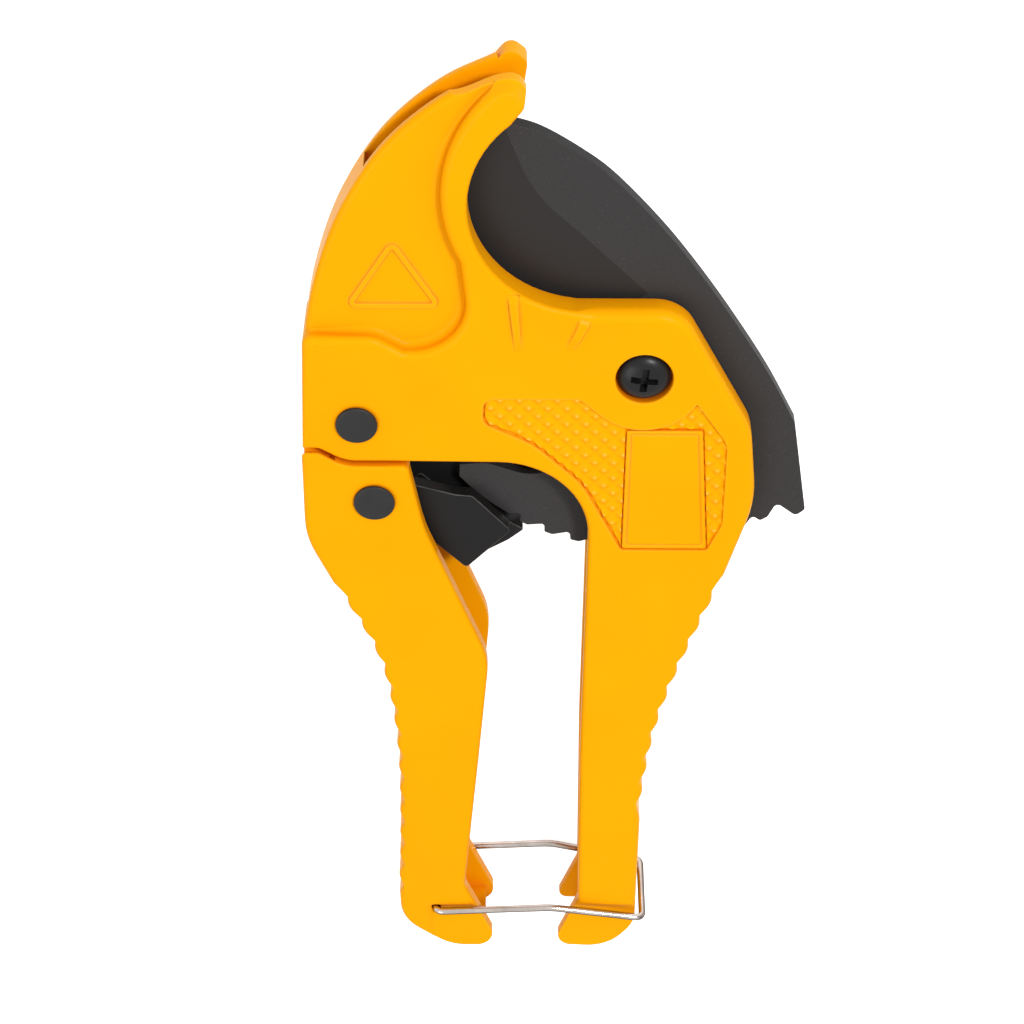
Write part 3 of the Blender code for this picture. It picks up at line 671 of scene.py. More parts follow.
def nickel_wire():
    """Bright plated wire with fine drawing lines and a painted dark reflection on two sides, as of a dark
    room.
    """
    plate = Finish("nickel_wire")
    cloud = plate.noise(220.0, detail=3.0)
    drawn = plate.noise(1.0, stretch=(60.0, 4000.0, 4000.0))
    facing = plate.node("ShaderNodeTexCoord", {}, {}, "Normal")
    # Painted dark reflection on the sides that face right and down.
    right = plate.between(plate.axis(facing, "X"), 0.1, 0.5)
    lower = plate.between(0 - plate.axis(facing, "Y"), -0.15, 0.25)
    body = plate.mix(plate.between(cloud, 0.35, 0.7), NICKEL, NICKEL_DULL)
    relief = plate.bump(drawn, depth=0.01 * MM, strength=0.2)
    return plate.coat(Base_Color=plate.mix(right.at_least(lower), body, NICKEL_DARK_REFLECTION), Metallic=1.0,
                      Roughness=0.12 + drawn * 0.12, Normal=relief, Specular_Tint=NICKEL_DARK_REFLECTION)


def ground_steel():
    """Bare ground steel of the bush, the washers and the springs."""
    steel = Finish("ground_steel")
    cloud = steel.noise(300.0, detail=3.0)
    lines = steel.noise(1.0, stretch=(3000.0, 200.0, 3000.0))
    return steel.coat(Base_Color=steel.mix(cloud, STEEL, STEEL_DULL), Roughness=0.26 + lines * 0.2,
                      Normal=steel.bump(lines, depth=0.01 * MM, strength=0.3), Metallic=1.0)


PAINT = yellow_paint("yellow_paint")
TIP_HIGHLIGHT_PAINT = yellow_paint("tip_highlight_yellow_paint", SHIFT.z + FRAME_HALF * MM)
BLADE_COAT = blade_coat()
PAWL_COAT = pawl_coat()
BLACK_OXIDE = black_oxide()
RIVET_STEEL = rivet_steel()
NICKEL_WIRE = nickel_wire()
GROUND_STEEL = ground_steel()


def hand_over(piece, name, body, finish, slot, *stands_for):
    """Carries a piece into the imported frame, shades it, and lets it ride on its body."""
    piece.name = name
    piece.data.name = name
    piece.data.transform(Matrix.Translation(SHIFT) @ Matrix.Scale(MM, 4))
    piece.data.materials.clear()
    piece.data.materials.append(finish)
    piece.data.shade_smooth()
    piece.data.set_sharp_from_angle(angle=SHARP_ANGLE)
    shading = piece.modifiers.new("even_shading", "WEIGHTED_NORMAL")
    shading.keep_sharp = True
    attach(piece, body)
    if stands_for:
        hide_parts(*stands_for)


# Frame

FIXED_FOOT_LINE = -99.5
MOVING_FOOT_LINE = -98.8
FIXED_TOE = (8.6, -110.6)
MOVING_TOE = (-2.4, -109.9)
REAR_TOE = Vector((11.9, -106.6))
REAR_TOE_ROUND = 1.7
TOE_OVERLAP = 0.1
BOSS_OVERLAP = 0.5
HOOK_OVERLAP = 2.5
HOOK_RIM = 1.2
HOOK_BACK = [(-38.0, 31.0), (-37.2, 45.0), (-34.2, 58.5), (-29.5, 70.6), (-22.2, 82.1), (-12.6, 90.9),
             (-2.6, 96.2)]
SLOT_START = Vector((-26.0, 79.0))
GRIP_PATH = [(39.3, -13.6), (35.1, -26.0), (31.3, -38.4), (28.5, -50.6), (26.8, -64.0), (26.4, -69.2)]
GRIP_RIDGES = 9
STEP_FILLET = 1.5
FLARE_START = -37.0
FLARE_RUN = 3.0
FLARE_FADE = 8.0
NOSE_LINE = [(-12.5, 92.4), (-10.2, 92.2), (-7.9, 92.8), (-5.7, 93.8), (-4.0, 94.6), (-1.9, 95.3),
             (-0.2, 95.5), (1.1, 95.1), (1.9, 94.3), (2.5, 93.2), (4.0, 91.5)]
NOSE_PAST = points((9.0, 91.5), (9.0, 104.0), (-16.0, 104.0), (-16.0, 92.4))
NOSE_SLOPE = 1.7
TRIANGLE = [(-29.2, 50.0, 0.8), (-21.1, 63.0, 0.8), (-13.1, 50.0, 0.8)]
TRIANGLE_POINTS = 120
TRIANGLE_HALF_WIDTH = 0.65
TRIANGLE_HEIGHT = 0.45
RIB_PATH = [(0.2, 54.0), (0.6, 49.0), (1.2, 42.0)]
RIB_HALF_WIDTH = 1.15
RIB_HEIGHT = 0.6
RIB_TAPER = 0.3
RIB_END = 0.1
RIB_RISE = 6
RIB_FALL = 3
SHELF_PATH = [(13.1, 48.7), (12.6, 47.2), (11.6, 45.0), (10.2, 42.4)]
SHELF_HALF_WIDTH = 1.3
SHELF_HEIGHT = 0.5
MOUTH_ROUND = 0.5
MOUTH_STEPS = 6
POCKET_TAPER = 0.1


def split_line(gap):
    """The line between the frame and the moving handle, right to left, moved down by the gap."""
    bend = arc(HANDLE_PIVOT, SPLIT_RADIUS + gap, -95, SPLIT_TURN)
    height = SHOULDER.y - gap
    shoulder = rounded([(*bend[-1], 0), (SHOULDER.x, height, SHOULDER_ROUND), (-38.6, height, 0)])
    return bend[:-1] + shoulder[:-1]


def body_outline():
    """The thick part of the frame, clockwise from beside the handle rivet, with its rounds and fillets."""
    left = rounded([(-38.6, SHOULDER.y, 0), (-37.7, 44.5, 2.0), (-24.6, 44.5, 6.0), (-19.5, 41.4, 0)])
    lobe = arc(LOBE_CENTRE, LOBE_RADIUS, -85, 5)
    land = arc(LAND_CENTRE, LAND_RADIUS, 208, 133)
    tip = rounded([(-2.3, 95.6, 0), (-0.5, 97.7, 2.0), (2.7, 95.0, 1.9), (2.1, 90.8, 1.7), (0.0, 88.1, 0)])
    seat = arc(SEAT_CENTRE, SEAT_RADIUS, 129, 262)
    shelf = points((11.5, 50.2), (12.5, 50.2), (13.5, 50.2), (14.5, 50.2))
    right = rounded([(15.5, 50.2, 0), (30.4, 50.2, 8.0), (44.0, 24.5, 12.0), (45.6, 8.0, 26.0),
                     (40.6, -9.5, 0)])
    ridged, plain = grip(GRIP_PATH, GRIP_RIDGES)
    foot = rounded([(26.3, -74.0, 0), (26.0, -104.0, 8.0), (20.4, -111.2, 9.0), (*FIXED_TOE, 2.8),
                    (13.9, -97.0, 3.0), (13.7, -55.0, 60.0), (14.6, 16.6, 17.0), (-22.0, 17.3, 0)])
    split = split_line(0.0)
    start = left + lobe + land + tip + seat + shelf + right
    rims = [0.6] + ramp(left[1:], 1.2, 1.5) + ramp(lobe, 1.5, 1.5) + ramp(land, 1.5, 1.7)
    rims += ramp(tip, 1.7, 0.9) + ramp(seat, 0.9, 0.9) + ramp(shelf, 1.0, 2.2) + ramp(right, 2.3, 1.2)
    rims += ramp(plain, 1.1, 1.1) + ramp(foot[:-1], 1.1, 1.0) + [0.6] + ramp(split, 0.5, 0.5)
    flares = [STEP_FILLET * min(1.0, max(0.0, (p.x - FLARE_START) / FLARE_RUN)) for p in left]
    flares += ramp(lobe, STEP_FILLET, STEP_FILLET)
    flares += [STEP_FILLET * min(1.0, (len(land) - i) / FLARE_FADE) for i in range(len(land))]
    flares += [0.0] * (len(rims) - len(flares))
    return start + ridged + foot + split, start + plain + foot + split, rims, flares


def hook_outline():
    """The thinner hook panel, which runs in under the body and the jaw's land."""
    inner = arc(SEAT_CENTRE, SEAT_RADIUS + HOOK_OVERLAP, 128, 250)
    return curve(HOOK_BACK) + inner + points((-12.0, 39.5), (-20.0, 31.0), (-33.0, 31.0))


def slot_cutter():
    """The blade's slot: open at the jaw, the top and the right, closed by the hook's back."""
    back = inset(curve(HOOK_BACK), -WALL)[1:-1]
    back = [p for p in back if p.y < SLOT_START.y - 2 * WALL]
    sweep = arc(BLADE_PIVOT, CORNER_RADIUS + 2 * GAP, -20, -140)
    around = points((-36.0, 86.4), (-36.0, 112.0), (80.0, 112.0), (80.0, 20.0))
    return prism(back + [SLOT_START] + around + sweep, -SLOT_HALF, SLOT_HALF)


def body_cavity():
    """The hollow of the body and of the fixed handle, open towards the moving handle."""
    top = rounded([(-45.0, 31.0, 0), (-35.0, 31.0, 2.0), (-33.0, 38.0, 3.0), (-8.0, 38.0, 5.0),
                   (0.0, 45.6, 4.0), (26.8, 45.6, 6.0), (39.6, 23.0, 8.0), (41.0, 9.0, 20.0),
                   (35.4, -12.0, 0)])
    _, outer = grip(GRIP_PATH, GRIP_RIDGES)
    side = [p + Vector((-WALL - RIDGE_DEPTH, 0)) for p in outer[RIDGE_SAMPLES::RIDGE_SAMPLES]]
    foot = rounded([(22.4, -72.0, 0), (22.2, -102.0, 4.0), (16.0, -105.5, 0)])
    below = points((16.0, BELOW_FEET), (-45.0, BELOW_FEET))
    return prism(top + side + foot + below, -CAVITY, CAVITY)


def sunk_foot(face, line, left, right, side):
    """The cutter for a foot's sunk face, which fades into the grip above and towards the outer side."""
    layers = []
    for i in range(EASE_ROWS + 1):
        share = i / EASE_ROWS
        rise = (FOOT_SINK + SLIVER) * ease(share)
        high = line + FOOT_SLOPE * share
        wide = left - FOOT_SIDE * share
        plan = points((wide, high), (right, high), (right, BELOW_FEET), (wide, BELOW_FEET))
        layers.append((plan, side * (face - FOOT_SINK + rise)))
    layers.append((plan, side * (face + CUT_OVER)))
    return stack(layers)


def nose_cutter():
    """The cutter that leaves the front of the hook's nose lower than the rear, with a rounded brow."""
    path = curve(NOSE_LINE)
    layers = [(path + NOSE_PAST, 0.0)]
    for i in range(EASE_ROWS + 1):
        share = i / EASE_ROWS
        rise = (FRAME_HALF - HOOK_HALF) * ease(share)
        moved = [p - left_of(heading(path, k)) * NOSE_SLOPE * share for k, p in enumerate(path)]
        layers.append((moved + NOSE_PAST, HOOK_HALF + SLIVER + rise))
    layers.append((moved + NOSE_PAST, FRAME_HALF + CUT_OVER))
    return stack(layers)


def rear_toe_cutter():
    """The cutter that leaves the rear wall of the fixed toe shorter than the front one."""
    end = arc(REAR_TOE, REAR_TOE_ROUND, 180, 270)
    past = points((16.0, end[-1].y), (16.0, BELOW_FEET), (0.0, BELOW_FEET), (0.0, REAR_TOE.y))
    return prism(end + past, -FRAME_HALF - CUT_OVER, -CAVITY + TOE_OVERLAP)


def triangle_ridge():
    """The raised three-cornered ridge on the hook panel."""
    middle = rounded_loop(TRIANGLE)
    middle = even(middle + middle[:1], TRIANGLE_POINTS + 1)[:-1]
    widths = ramp(middle, TRIANGLE_HALF_WIDTH, TRIANGLE_HALF_WIDTH)
    heights = ramp(middle, TRIANGLE_HEIGHT, TRIANGLE_HEIGHT)
    return low_ridge(middle, widths, heights, HOOK_HALF, closed=True)


def rib(spine, half_width, height):
    """A short rib on the face that runs down from the seat, rises quickly and tapers away."""
    path = curve(spine)
    widths = ramp(path, half_width, half_width * (1 - RIB_TAPER))
    heights = [height * min(1.0, RIB_END + RIB_RISE * share) * min(1.0, RIB_END + RIB_FALL * (1 - share))
               for share in ramp(path, 0.0, 1.0)]
    return low_ridge(path, widths, heights, FRAME_HALF)


def screw_pocket(reach):
    """The pocket for the screw's head, with a rounded mouth."""
    radius = HEAD_RADIUS + HEAD_POCKET_PLAY
    profile = [(radius - POCKET_TAPER, FRAME_HALF - HEAD_POCKET)]
    for run, rise in quarter(MOUTH_STEPS):
        profile.append((radius + MOUTH_ROUND * (1 - run), FRAME_HALF + SLIVER - MOUTH_ROUND * (1 - rise)))
    return turned(BLADE_PIVOT, profile + [(radius + MOUTH_ROUND, reach)])


def make_frame():
    outline, plain, rims, flares = body_outline()
    piece = casting(outline, plain, FRAME_HALF, rims, flares, HOOK_HALF - SLIVER)
    hook = hook_outline()
    add(piece, casting(hook, hook, HOOK_HALF, ramp(hook, HOOK_RIM, HOOK_RIM)))
    cut(piece, body_cavity(), slot_cutter())
    reach = FRAME_HALF + CUT_OVER
    for side in (-1, 1):
        boss = sorted((side * BOSS_FACE, side * (CAVITY + BOSS_OVERLAP)))
        add(piece, rod(BLADE_PIVOT, BOSS_RADIUS, *boss))
        cut(piece, sunk_foot(FRAME_HALF, FIXED_FOOT_LINE, 0.0, 40.0, side))
    cut(piece, rear_toe_cutter(), nose_cutter())
    add(piece, triangle_ridge(), rib(RIB_PATH, RIB_HALF_WIDTH, RIB_HEIGHT),
        rib(SHELF_PATH, SHELF_HALF_WIDTH, SHELF_HEIGHT))
    cut(piece, rod(BLADE_PIVOT, SHANK_RADIUS + GAP, -reach, reach))
    cut(piece, screw_pocket(reach))
    cut(piece, prism(hexagon(NUT_FLATS + 2 * GAP), -reach, NUT_SINK - FRAME_HALF))
    cut(piece, rod(HANDLE_PIVOT, RIVET_SHANK + GAP, -reach, reach))
    pad = pad_loop()
    recess = [(inset(pad, margin), FRAME_HALF - depth) for margin, depth in PAD_WALL]
    cut(piece, stack(recess + [(pad, FRAME_HALF), (pad, reach)]))
    hand_over(piece, "frame_casting", "frame_body", PAINT, "cast_paint", "frame")


# Grip pad and bare plate

PAD_CLEAR = 11.2
PAD_EDGE = [(39.7, 21.6, 6.0), (39.6, 3.0, 5.0), (36.9, -3.2, 0.8), (20.6, -3.2, 0.8), (12.9, 12.4, 16.0),
            (4.0, 21.2, 14.0), (-5.4, 26.0, 2.4), (-5.2, 31.5, 2.2), (12.4, 31.5, 1.6)]
PAD_SINK = 0.75
# Margin inside the edge and depth below the face.
PAD_WALL = [(0.3, PAD_SINK), (0.1, 0.25)]
PAD_MESH = 0.3
PAD_BORDER = 1.0
PAD_VALLEY = 0.06
PAD_RISE = PAD_SINK - 0.09
PAD_ROOT = 0.1
PAD_PLAY = 0.25
PAD_NUDGE = Vector((0.2, 0.15))
PLATE_CORNERS = points((21.1, 24.6), (20.8, -2.8), (36.8, -2.8), (35.1, 24.6))
PLATE_ROUND = 0.5
PLATE_PLAY = 0.2
PLATE_STEPS = [(0.0, 0.3), (0.08, 0.1), (0.25, 0.03), (0.6, 0.03), (0.75, 0.14), (0.9, 0.28), (1.05, 0.14),
               (1.25, 0.03)]
PYRAMID_HALF = 1.75
PYRAMID_START = Vector((-2.1, 31.2))
PYRAMID_SQUARE = 6
PYRAMID_SOFT = 0.4


def pad_loop():
    """The pad's edge, anticlockwise: it keeps clear of the pivot screw and follows the frame's bend."""
    top = arc(BLADE_PIVOT, PAD_CLEAR, 225, 331)
    rest = rounded([(*top[-1], 0)] + PAD_EDGE + [(*top[0], 0)])
    return (top + rest[1:-1])[::-1]


def pyramid(spot):
    """How high the pad stands at a point: 0 in the valleys, 1 on the softly rounded tips."""
    offset = (spot - PYRAMID_START) / (2 * PYRAMID_HALF)
    slants = (offset.x + offset.y, offset.x - offset.y)
    squared = sum((2 * abs(slant - round(slant))) ** PYRAMID_SQUARE for slant in slants)
    share = max(0.0, 1 - squared ** (1 / PYRAMID_SQUARE))
    return (1 - PYRAMID_SOFT) * share + PYRAMID_SOFT * ease(share)


def make_pad():
    """The sunk grip pad: rows of small soft pyramids up to the level of the face."""
    base = FRAME_HALF - PAD_SINK
    edge = pad_loop()
    left = min(p.x for p in edge) - PAD_BORDER
    low = min(p.y for p in edge) - PAD_BORDER
    columns = int((max(p.x for p in edge) + PAD_BORDER - left) / PAD_MESH)
    rows = int((max(p.y for p in edge) + PAD_BORDER - low) / PAD_MESH)
    shape = bmesh.new()
    grid = []
    for j in range(rows + 1):
        row = []
        for i in range(columns + 1):
            spot = Vector((left + i * PAD_MESH, low + j * PAD_MESH))
            row.append(shape.verts.new((*spot, base + PAD_VALLEY + PAD_RISE * pyramid(spot))))
        grid.append(row)
    for below, above in zip(grid, grid[1:]):
        for i in range(columns):
            shape.faces.new((below[i], below[i + 1], above[i + 1], above[i]))
    rim = [line for line in shape.edges if line.is_boundary]
    walls = bmesh.ops.extrude_edge_only(shape, edges=rim)["geom"]
    for vert in [item for item in walls if isinstance(item, bmesh.types.BMVert)]:
        vert.co.z = base - PAD_BORDER
    bmesh.ops.holes_fill(shape, edges=[line for line in shape.edges if line.is_boundary], sides=0)
    pad = new_piece(shape)
    outline = [p + PAD_NUDGE for p in inset(edge, PAD_PLAY)]
    combine(pad, prism(outline, base - PAD_ROOT, FRAME_HALF + PAD_BORDER), "INTERSECT")
    cut(pad, prism(plate_loop(-PLATE_PLAY), base - CUT_OVER, FRAME_HALF + CUT_OVER))
    hand_over(pad, "grip_pad", "frame_body", TIP_HIGHLIGHT_PAINT, "cast_paint")


def plate_loop(margin):
    return rounded_loop([(*corner, PLATE_ROUND) for corner in inset(PLATE_CORNERS, margin)])


def make_plate():
    """The bare plate in the pad, with a stepped border."""
    layers = [(plate_loop(0.0), FRAME_HALF - PAD_SINK - PAD_ROOT)]
    layers += [(plate_loop(margin), FRAME_HALF - depth) for margin, depth in PLATE_STEPS]
    slab = stack(layers)
    hand_over(slab, "bare_plate", "frame_body", PAINT, "cast_paint")


# Moving handle

HANDLE_PATH = [(-32.4, -14.6), (-26.9, -27.2), (-24.2, -38.6), (-22.8, -56.0), (-22.9, -76.0),
               (-23.5, -92.0)]
HANDLE_RIDGES = 13


def handle_outline():
    """The handle's outline, clockwise from its upper left corner, and its edge rounds."""
    split = split_line(SPLIT_GAP)[::-1]
    inner = rounded([(-24.0, 16.8, 0), (-19.2, 16.8, 1.4), (-16.4, 2.0, 30.0), (-4.4, -30.0, 18.0),
                     (-6.6, -56.0, 60.0), (-9.8, -92.0, 6.0), (*MOVING_TOE, 3.4),
                     (-13.0, -110.0, 10.0), (-23.2, -102.0, 9.0), (-23.4, -94.0, 0)])
    ridged, plain = grip(HANDLE_PATH[::-1], HANDLE_RIDGES)
    corner = (-38.8, SHOULDER.y - SPLIT_GAP, 1.2)
    left = rounded([(-34.1, -11.2, 0), (-38.9, -0.2, 20.0), corner, (*split[0], 0)])[:-1]
    rims = ramp(split, 0.45, 0.45) + [0.45] + ramp(inner[1:], 0.8, 1.1) + ramp(plain, 1.1, 1.1)
    rims += ramp(left, 1.1, 0.6)
    return split + inner + ridged + left, split + inner + plain + left, rims


def swing_room():
    """Under the lip the upper left corner is cut away, so that it swings past the frame."""
    reach = 20.0
    corners = [HANDLE_PIVOT] + [polar(HANDLE_PIVOT, reach, a) for a in (LAP_START, -150.0, -180.0)]
    return prism(corners, -FRAME_HALF - GAP, FRAME_HALF + GAP)


def tongue():
    """The thin upper end that turns inside the frame."""
    ear = arc(HANDLE_PIVOT, EAR_RADIUS, 170, -40)
    foot = points((-20.5, 15.4), (-38.0, 11.0), (-38.6, 13.0), (-38.6, 22.6), (-37.0, 23.6))
    return prism(ear + foot, -TONGUE, TONGUE)


def handle_channel():
    """The hollow of the handle, open towards the fixed handle."""
    _, outer = grip(HANDLE_PATH, HANDLE_RIDGES)
    web = [p + Vector((HANDLE_WALL + RIDGE_DEPTH, 0)) for p in outer[RIDGE_SAMPLES // 2::RIDGE_SAMPLES]]
    top = rounded([(10.0, 15.4, 0), (-35.6, 15.4, 1.0), (-35.6, 3.2, 12.0), (-29.6, -9.4, 0)])
    foot = rounded([(-18.8, -92.0, 0), (-18.6, -98.0, 4.0), (-13.0, -105.6, 4.0), (-5.6, -105.6, 0)])
    below = points((-5.6, BELOW_FEET), (10.0, BELOW_FEET))
    return prism(top + web + foot + below, -HANDLE_CAVITY, HANDLE_CAVITY)


def make_handle():
    outline, plain, rims = handle_outline()
    piece = casting(outline, plain, HANDLE_HALF, rims)
    cut(piece, swing_room())
    add(piece, tongue())
    spring_room = points((-35.6, 10.0), (-35.6, 40.0), (-10.0, 40.0), (-10.0, 10.0))
    ears = TONGUE - EAR_WALL
    cut(piece, handle_channel(), prism(spring_room, -ears, ears))
    reach = HANDLE_HALF + CUT_OVER
    for side in (-1, 1):
        cut(piece, sunk_foot(HANDLE_HALF, MOVING_FOOT_LINE, WIRE_PIVOT.x, 10.0, side))
    for pivot, pin in ((HANDLE_PIVOT, RIVET_SHANK), (PAWL_PIVOT, RIVET_SHANK), (WIRE_PIVOT, WIRE_RADIUS)):
        cut(piece, rod(pivot, pin + GAP, -reach, reach))
    hand_over(piece, "handle_casting", "handle_body", PAINT, "cast_paint", "moving_handle")


# Blade and its pivot

EDGE_PATH = [(-7.5, 84.6), (-11.4, 76.0), (-10.2, 65.5), (-3.5, 54.5), (12.0, 44.5)]
BEVEL_PATH = [(-1.8, 85.4), (4.2, 71.6), (13.6, 61.6), (24.5, 50.5)]
BACK_CORNER = Vector((52.5, 22.2))
BACK_PATH = [BACK_CORNER, (47.1, 33.0), (40.9, 43.5), (34.2, 53.8), (26.9, 63.8), (18.4, 73.5),
             (12.3, 78.6), (4.8, 83.3), (-1.8, 85.4)]
EDGE_SAMPLES = 40
TAIL_END = TOOTH_FIRST - 5.0
TOOTH_ROOT = TOOTH_RADIUS - TOOTH_HEIGHT
# Corners of one tooth and of the edge after the last: radius, angle from its place, round.
TOOTH_CORNERS = [(TOOTH_ROOT, -2.3, 0.7), (TOOTH_RADIUS, -1.3, 0.5), (TOOTH_RADIUS, 0.9, 0.8)]
LAST_CORNERS = [(TOOTH_ROOT, -1.9, 0.9), (CORNER_RADIUS, -0.6, 1.0), (CORNER_RADIUS, 2.2, 1.0)]


def tooth_edge():
    """The ratchet edge from the tail to the back: rounded hooks whose steep flanks face the pawl."""
    corners = [(*polar(BLADE_PIVOT, TAIL_RADIUS, TAIL_END), 0)]
    for i in range(TOOTH_COUNT + 1):
        place = TOOTH_FIRST + i * TOOTH_PITCH
        for radius, angle, soft in TOOTH_CORNERS if i < TOOTH_COUNT else LAST_CORNERS:
            corners.append((*polar(BLADE_PIVOT, radius, place + angle), soft))
    tail = arc(BLADE_PIVOT, TAIL_RADIUS, -142, TAIL_END)
    return tail[:-1] + rounded(corners + [(*BACK_CORNER, 0)])[:-1]


def make_blade():
    sharp = even(curve(EDGE_PATH), EDGE_SAMPLES)
    bevel = even(curve(BEVEL_PATH), EDGE_SAMPLES)
    hub = arc(BLADE_PIVOT, HUB_RADIUS, 150, 200)
    web = rounded([(11.6, 30.0, 0), (11.0, 13.0, 5.0), (4.0, 9.4, 8.0), (-5.0, 12.7, 6.0),
                   (-9.8, 12.2, 0)])
    rest = hub + web + tooth_edge() + curve(BACK_PATH)[:-1]
    shape = bmesh.new()
    sides = []
    for sign in (-1, 1):
        flat = sign * BLADE_HALF
        thin = sign * EDGE_HALF
        edge = [shape.verts.new(p) for p in level(sharp[:-1], thin) + level(sharp[-1:], flat)]
        ground = [shape.verts.new(p) for p in level(bevel, flat)]
        outer = [shape.verts.new(p) for p in level(rest, flat)]
        for i in range(EDGE_SAMPLES - 1):
            shape.faces.new((edge[i], edge[i + 1], ground[i + 1], ground[i]))
        shape.faces.new(ground + [edge[-1]] + outer)
        sides.append(edge + outer + [ground[0]])
    low, high = sides
    for i in range(len(low)):
        shape.faces.new((low[i - 1], low[i], high[i], high[i - 1]))
    piece = new_piece(shape)
    cut(piece, rod(BLADE_PIVOT, BUSH_RADIUS + GAP, -2 * BLADE_HALF, 2 * BLADE_HALF))
    hand_over(piece, "coated_blade", "blade_body", BLADE_COAT, "black_steel", "blade")


def hexagon(flats):
    return [polar(BLADE_PIVOT, flats / math.sqrt(3), 60 * i + 30) for i in range(6)]


CROSS_ARM = 2.55
CROSS_HALF_WIDTH = 0.68
CROSS_DEPTH = 2.1
CROSS_TURN = -6.0
CROSS_NARROW = 0.72
DOME_STEPS = 8
DOME_START = 0.3
DOME_TOP = 0.05
SHANK_CHAMFER = 0.5
HEAD_CHAMFER = 0.2
NUT_CHAMFER = 0.75
NUT_CHAMFER_RISE = 0.45
RING_CHAMFER = 0.12
RIVET_EDGE = 0.35
RIVET_FLAT = 0.4


def cross_cutter(top):
    """The cross recess, whose four arms narrow towards its floor."""
    arms = []
    for k in range(4):
        turn = Matrix.Rotation(math.radians(90 * k + CROSS_TURN), 2)
        for x, y in ((CROSS_HALF_WIDTH, CROSS_HALF_WIDTH), (CROSS_ARM, CROSS_HALF_WIDTH),
                     (CROSS_ARM, -CROSS_HALF_WIDTH)):
            arms.append(turn @ Vector((x, y)))
    arms.sort(key=lambda arm: math.atan2(arm.y, arm.x))
    mouth = [BLADE_PIVOT + arm for arm in arms]
    floor = [BLADE_PIVOT + arm * CROSS_NARROW for arm in arms]
    return stack([(floor, top - CROSS_DEPTH), (mouth, top), (mouth, top + CUT_OVER)])


def make_screw():
    """A pan head screw with a domed crown."""
    seat = FRAME_HALF - HEAD_POCKET + GAP
    top = seat + HEAD_HEIGHT
    tail = GAP - FRAME_HALF - NUT_HEIGHT + NUT_SINK
    profile = [(SHANK_RADIUS - SHANK_CHAMFER, tail), (SHANK_RADIUS, tail + SHANK_CHAMFER),
               (SHANK_RADIUS, seat), (HEAD_RADIUS - HEAD_CHAMFER, seat), (HEAD_RADIUS, seat + HEAD_CHAMFER),
               (HEAD_RADIUS, seat + DOME_START * HEAD_HEIGHT)]
    for run, rise in quarter(DOME_STEPS)[1:]:
        across = DOME_TOP + (1 - DOME_TOP) * run ** 0.8
        height = DOME_START + (1 - DOME_START) * rise ** 1.15
        profile.append((HEAD_RADIUS * across, seat + HEAD_HEIGHT * height))
    piece = turned(BLADE_PIVOT, profile)
    cut(piece, cross_cutter(top))
    hand_over(piece, "pivot_screw", "frame_body", BLACK_OXIDE, "black_oxide", "blade_screw")


def make_nut():
    """A hexagon nut with a turned chamfer on its outer face."""
    high = NUT_SINK - FRAME_HALF - GAP
    low = high - NUT_HEIGHT
    piece = prism(hexagon(NUT_FLATS), low, high)
    corner = NUT_FLATS / math.sqrt(3)
    wide = corner + 1.0
    crown = turned(BLADE_PIVOT, [(corner - NUT_CHAMFER, low), (corner, low + NUT_CHAMFER_RISE),
                                 (wide, high - 0.1), (wide, high + 1.0)])
    combine(piece, crown, "INTERSECT")
    cut(piece, rod(BLADE_PIVOT, SHANK_RADIUS + GAP, low - CUT_OVER, high + CUT_OVER))
    hand_over(piece, "pivot_nut", "frame_body", BLACK_OXIDE, "black_oxide", "blade_nut")


def make_ring(name, stands_for, outer, inner, low, high):
    """A turned ring with broken outer edges."""
    flat = outer - RING_CHAMFER
    profile = [(inner, low), (flat, low), (outer, low + RING_CHAMFER), (outer, high - RING_CHAMFER),
               (flat, high), (inner, high)]
    piece = skin([level(circle(BLADE_PIVOT, radius), z) for radius, z in profile], closed=True)
    hand_over(piece, name, "frame_body", GROUND_STEEL, "ground_steel", stands_for)


def make_rivet(name, stands_for, body, pivot, half):
    """A rivet through both walls, with a flat, softly edged head on each side."""
    seat = half + GAP
    top = seat + RIVET_HEAD
    side = [(RIVET_HEAD_RADIUS * RIVET_FLAT, top), (RIVET_HEAD_RADIUS - 2 * RIVET_EDGE, top - 0.03)]
    for run, rise in quarter(RIVET_STEPS):
        side.append((RIVET_HEAD_RADIUS - RIVET_EDGE * (1 - rise), top - 0.05 - RIVET_EDGE * (1 - run)))
    side += [(RIVET_HEAD_RADIUS, seat), (RIVET_SHANK, seat)]
    piece = turned(pivot, [(r, -z) for r, z in side] + side[::-1])
    hand_over(piece, name, body, RIVET_STEEL, "black_oxide", stands_for)


# Pawl, springs and lock wire

NOSE_PLAY = 0.7
PAWL_NOSE = polar(BLADE_PIVOT, TOOTH_RADIUS + NOSE_PLAY, -119.5)
PAWL_HEEL = (PAWL_NOSE.x - 3.0, PAWL_NOSE.y - 2.6, 0)
PAWL_BACK = [(-8.7, -9.9, 0.8), (-17.0, -1.4, 2.0), (-21.5, 5.6, 0)]
PAWL_FRONT = [(-20.4, 10.4, 0), (-10.6, 7.5, 1.5), (-7.4, 7.2, 1.5), (-0.2, -0.9, 0.8)] + PAWL_BACK
PAWL_REAR = [(-21.0, 10.6, 0), (6.2, 11.2, 1.5), (5.4, 5.0, 3.0)] + PAWL_BACK
PAWL_CORE = [PAWL_HEEL, (PAWL_NOSE.x, PAWL_NOSE.y, 0.3), (-1.2, -0.2, 1.0), (-6.4, 3.0, 1.0),
             (-12.0, 2.6, 6.0), (-17.6, 8.0, 0.6), (-19.0, 4.0, 0.6), (-16.4, -1.6, 1.0), (-8.7, -9.9, 0.8),
             PAWL_HEEL]


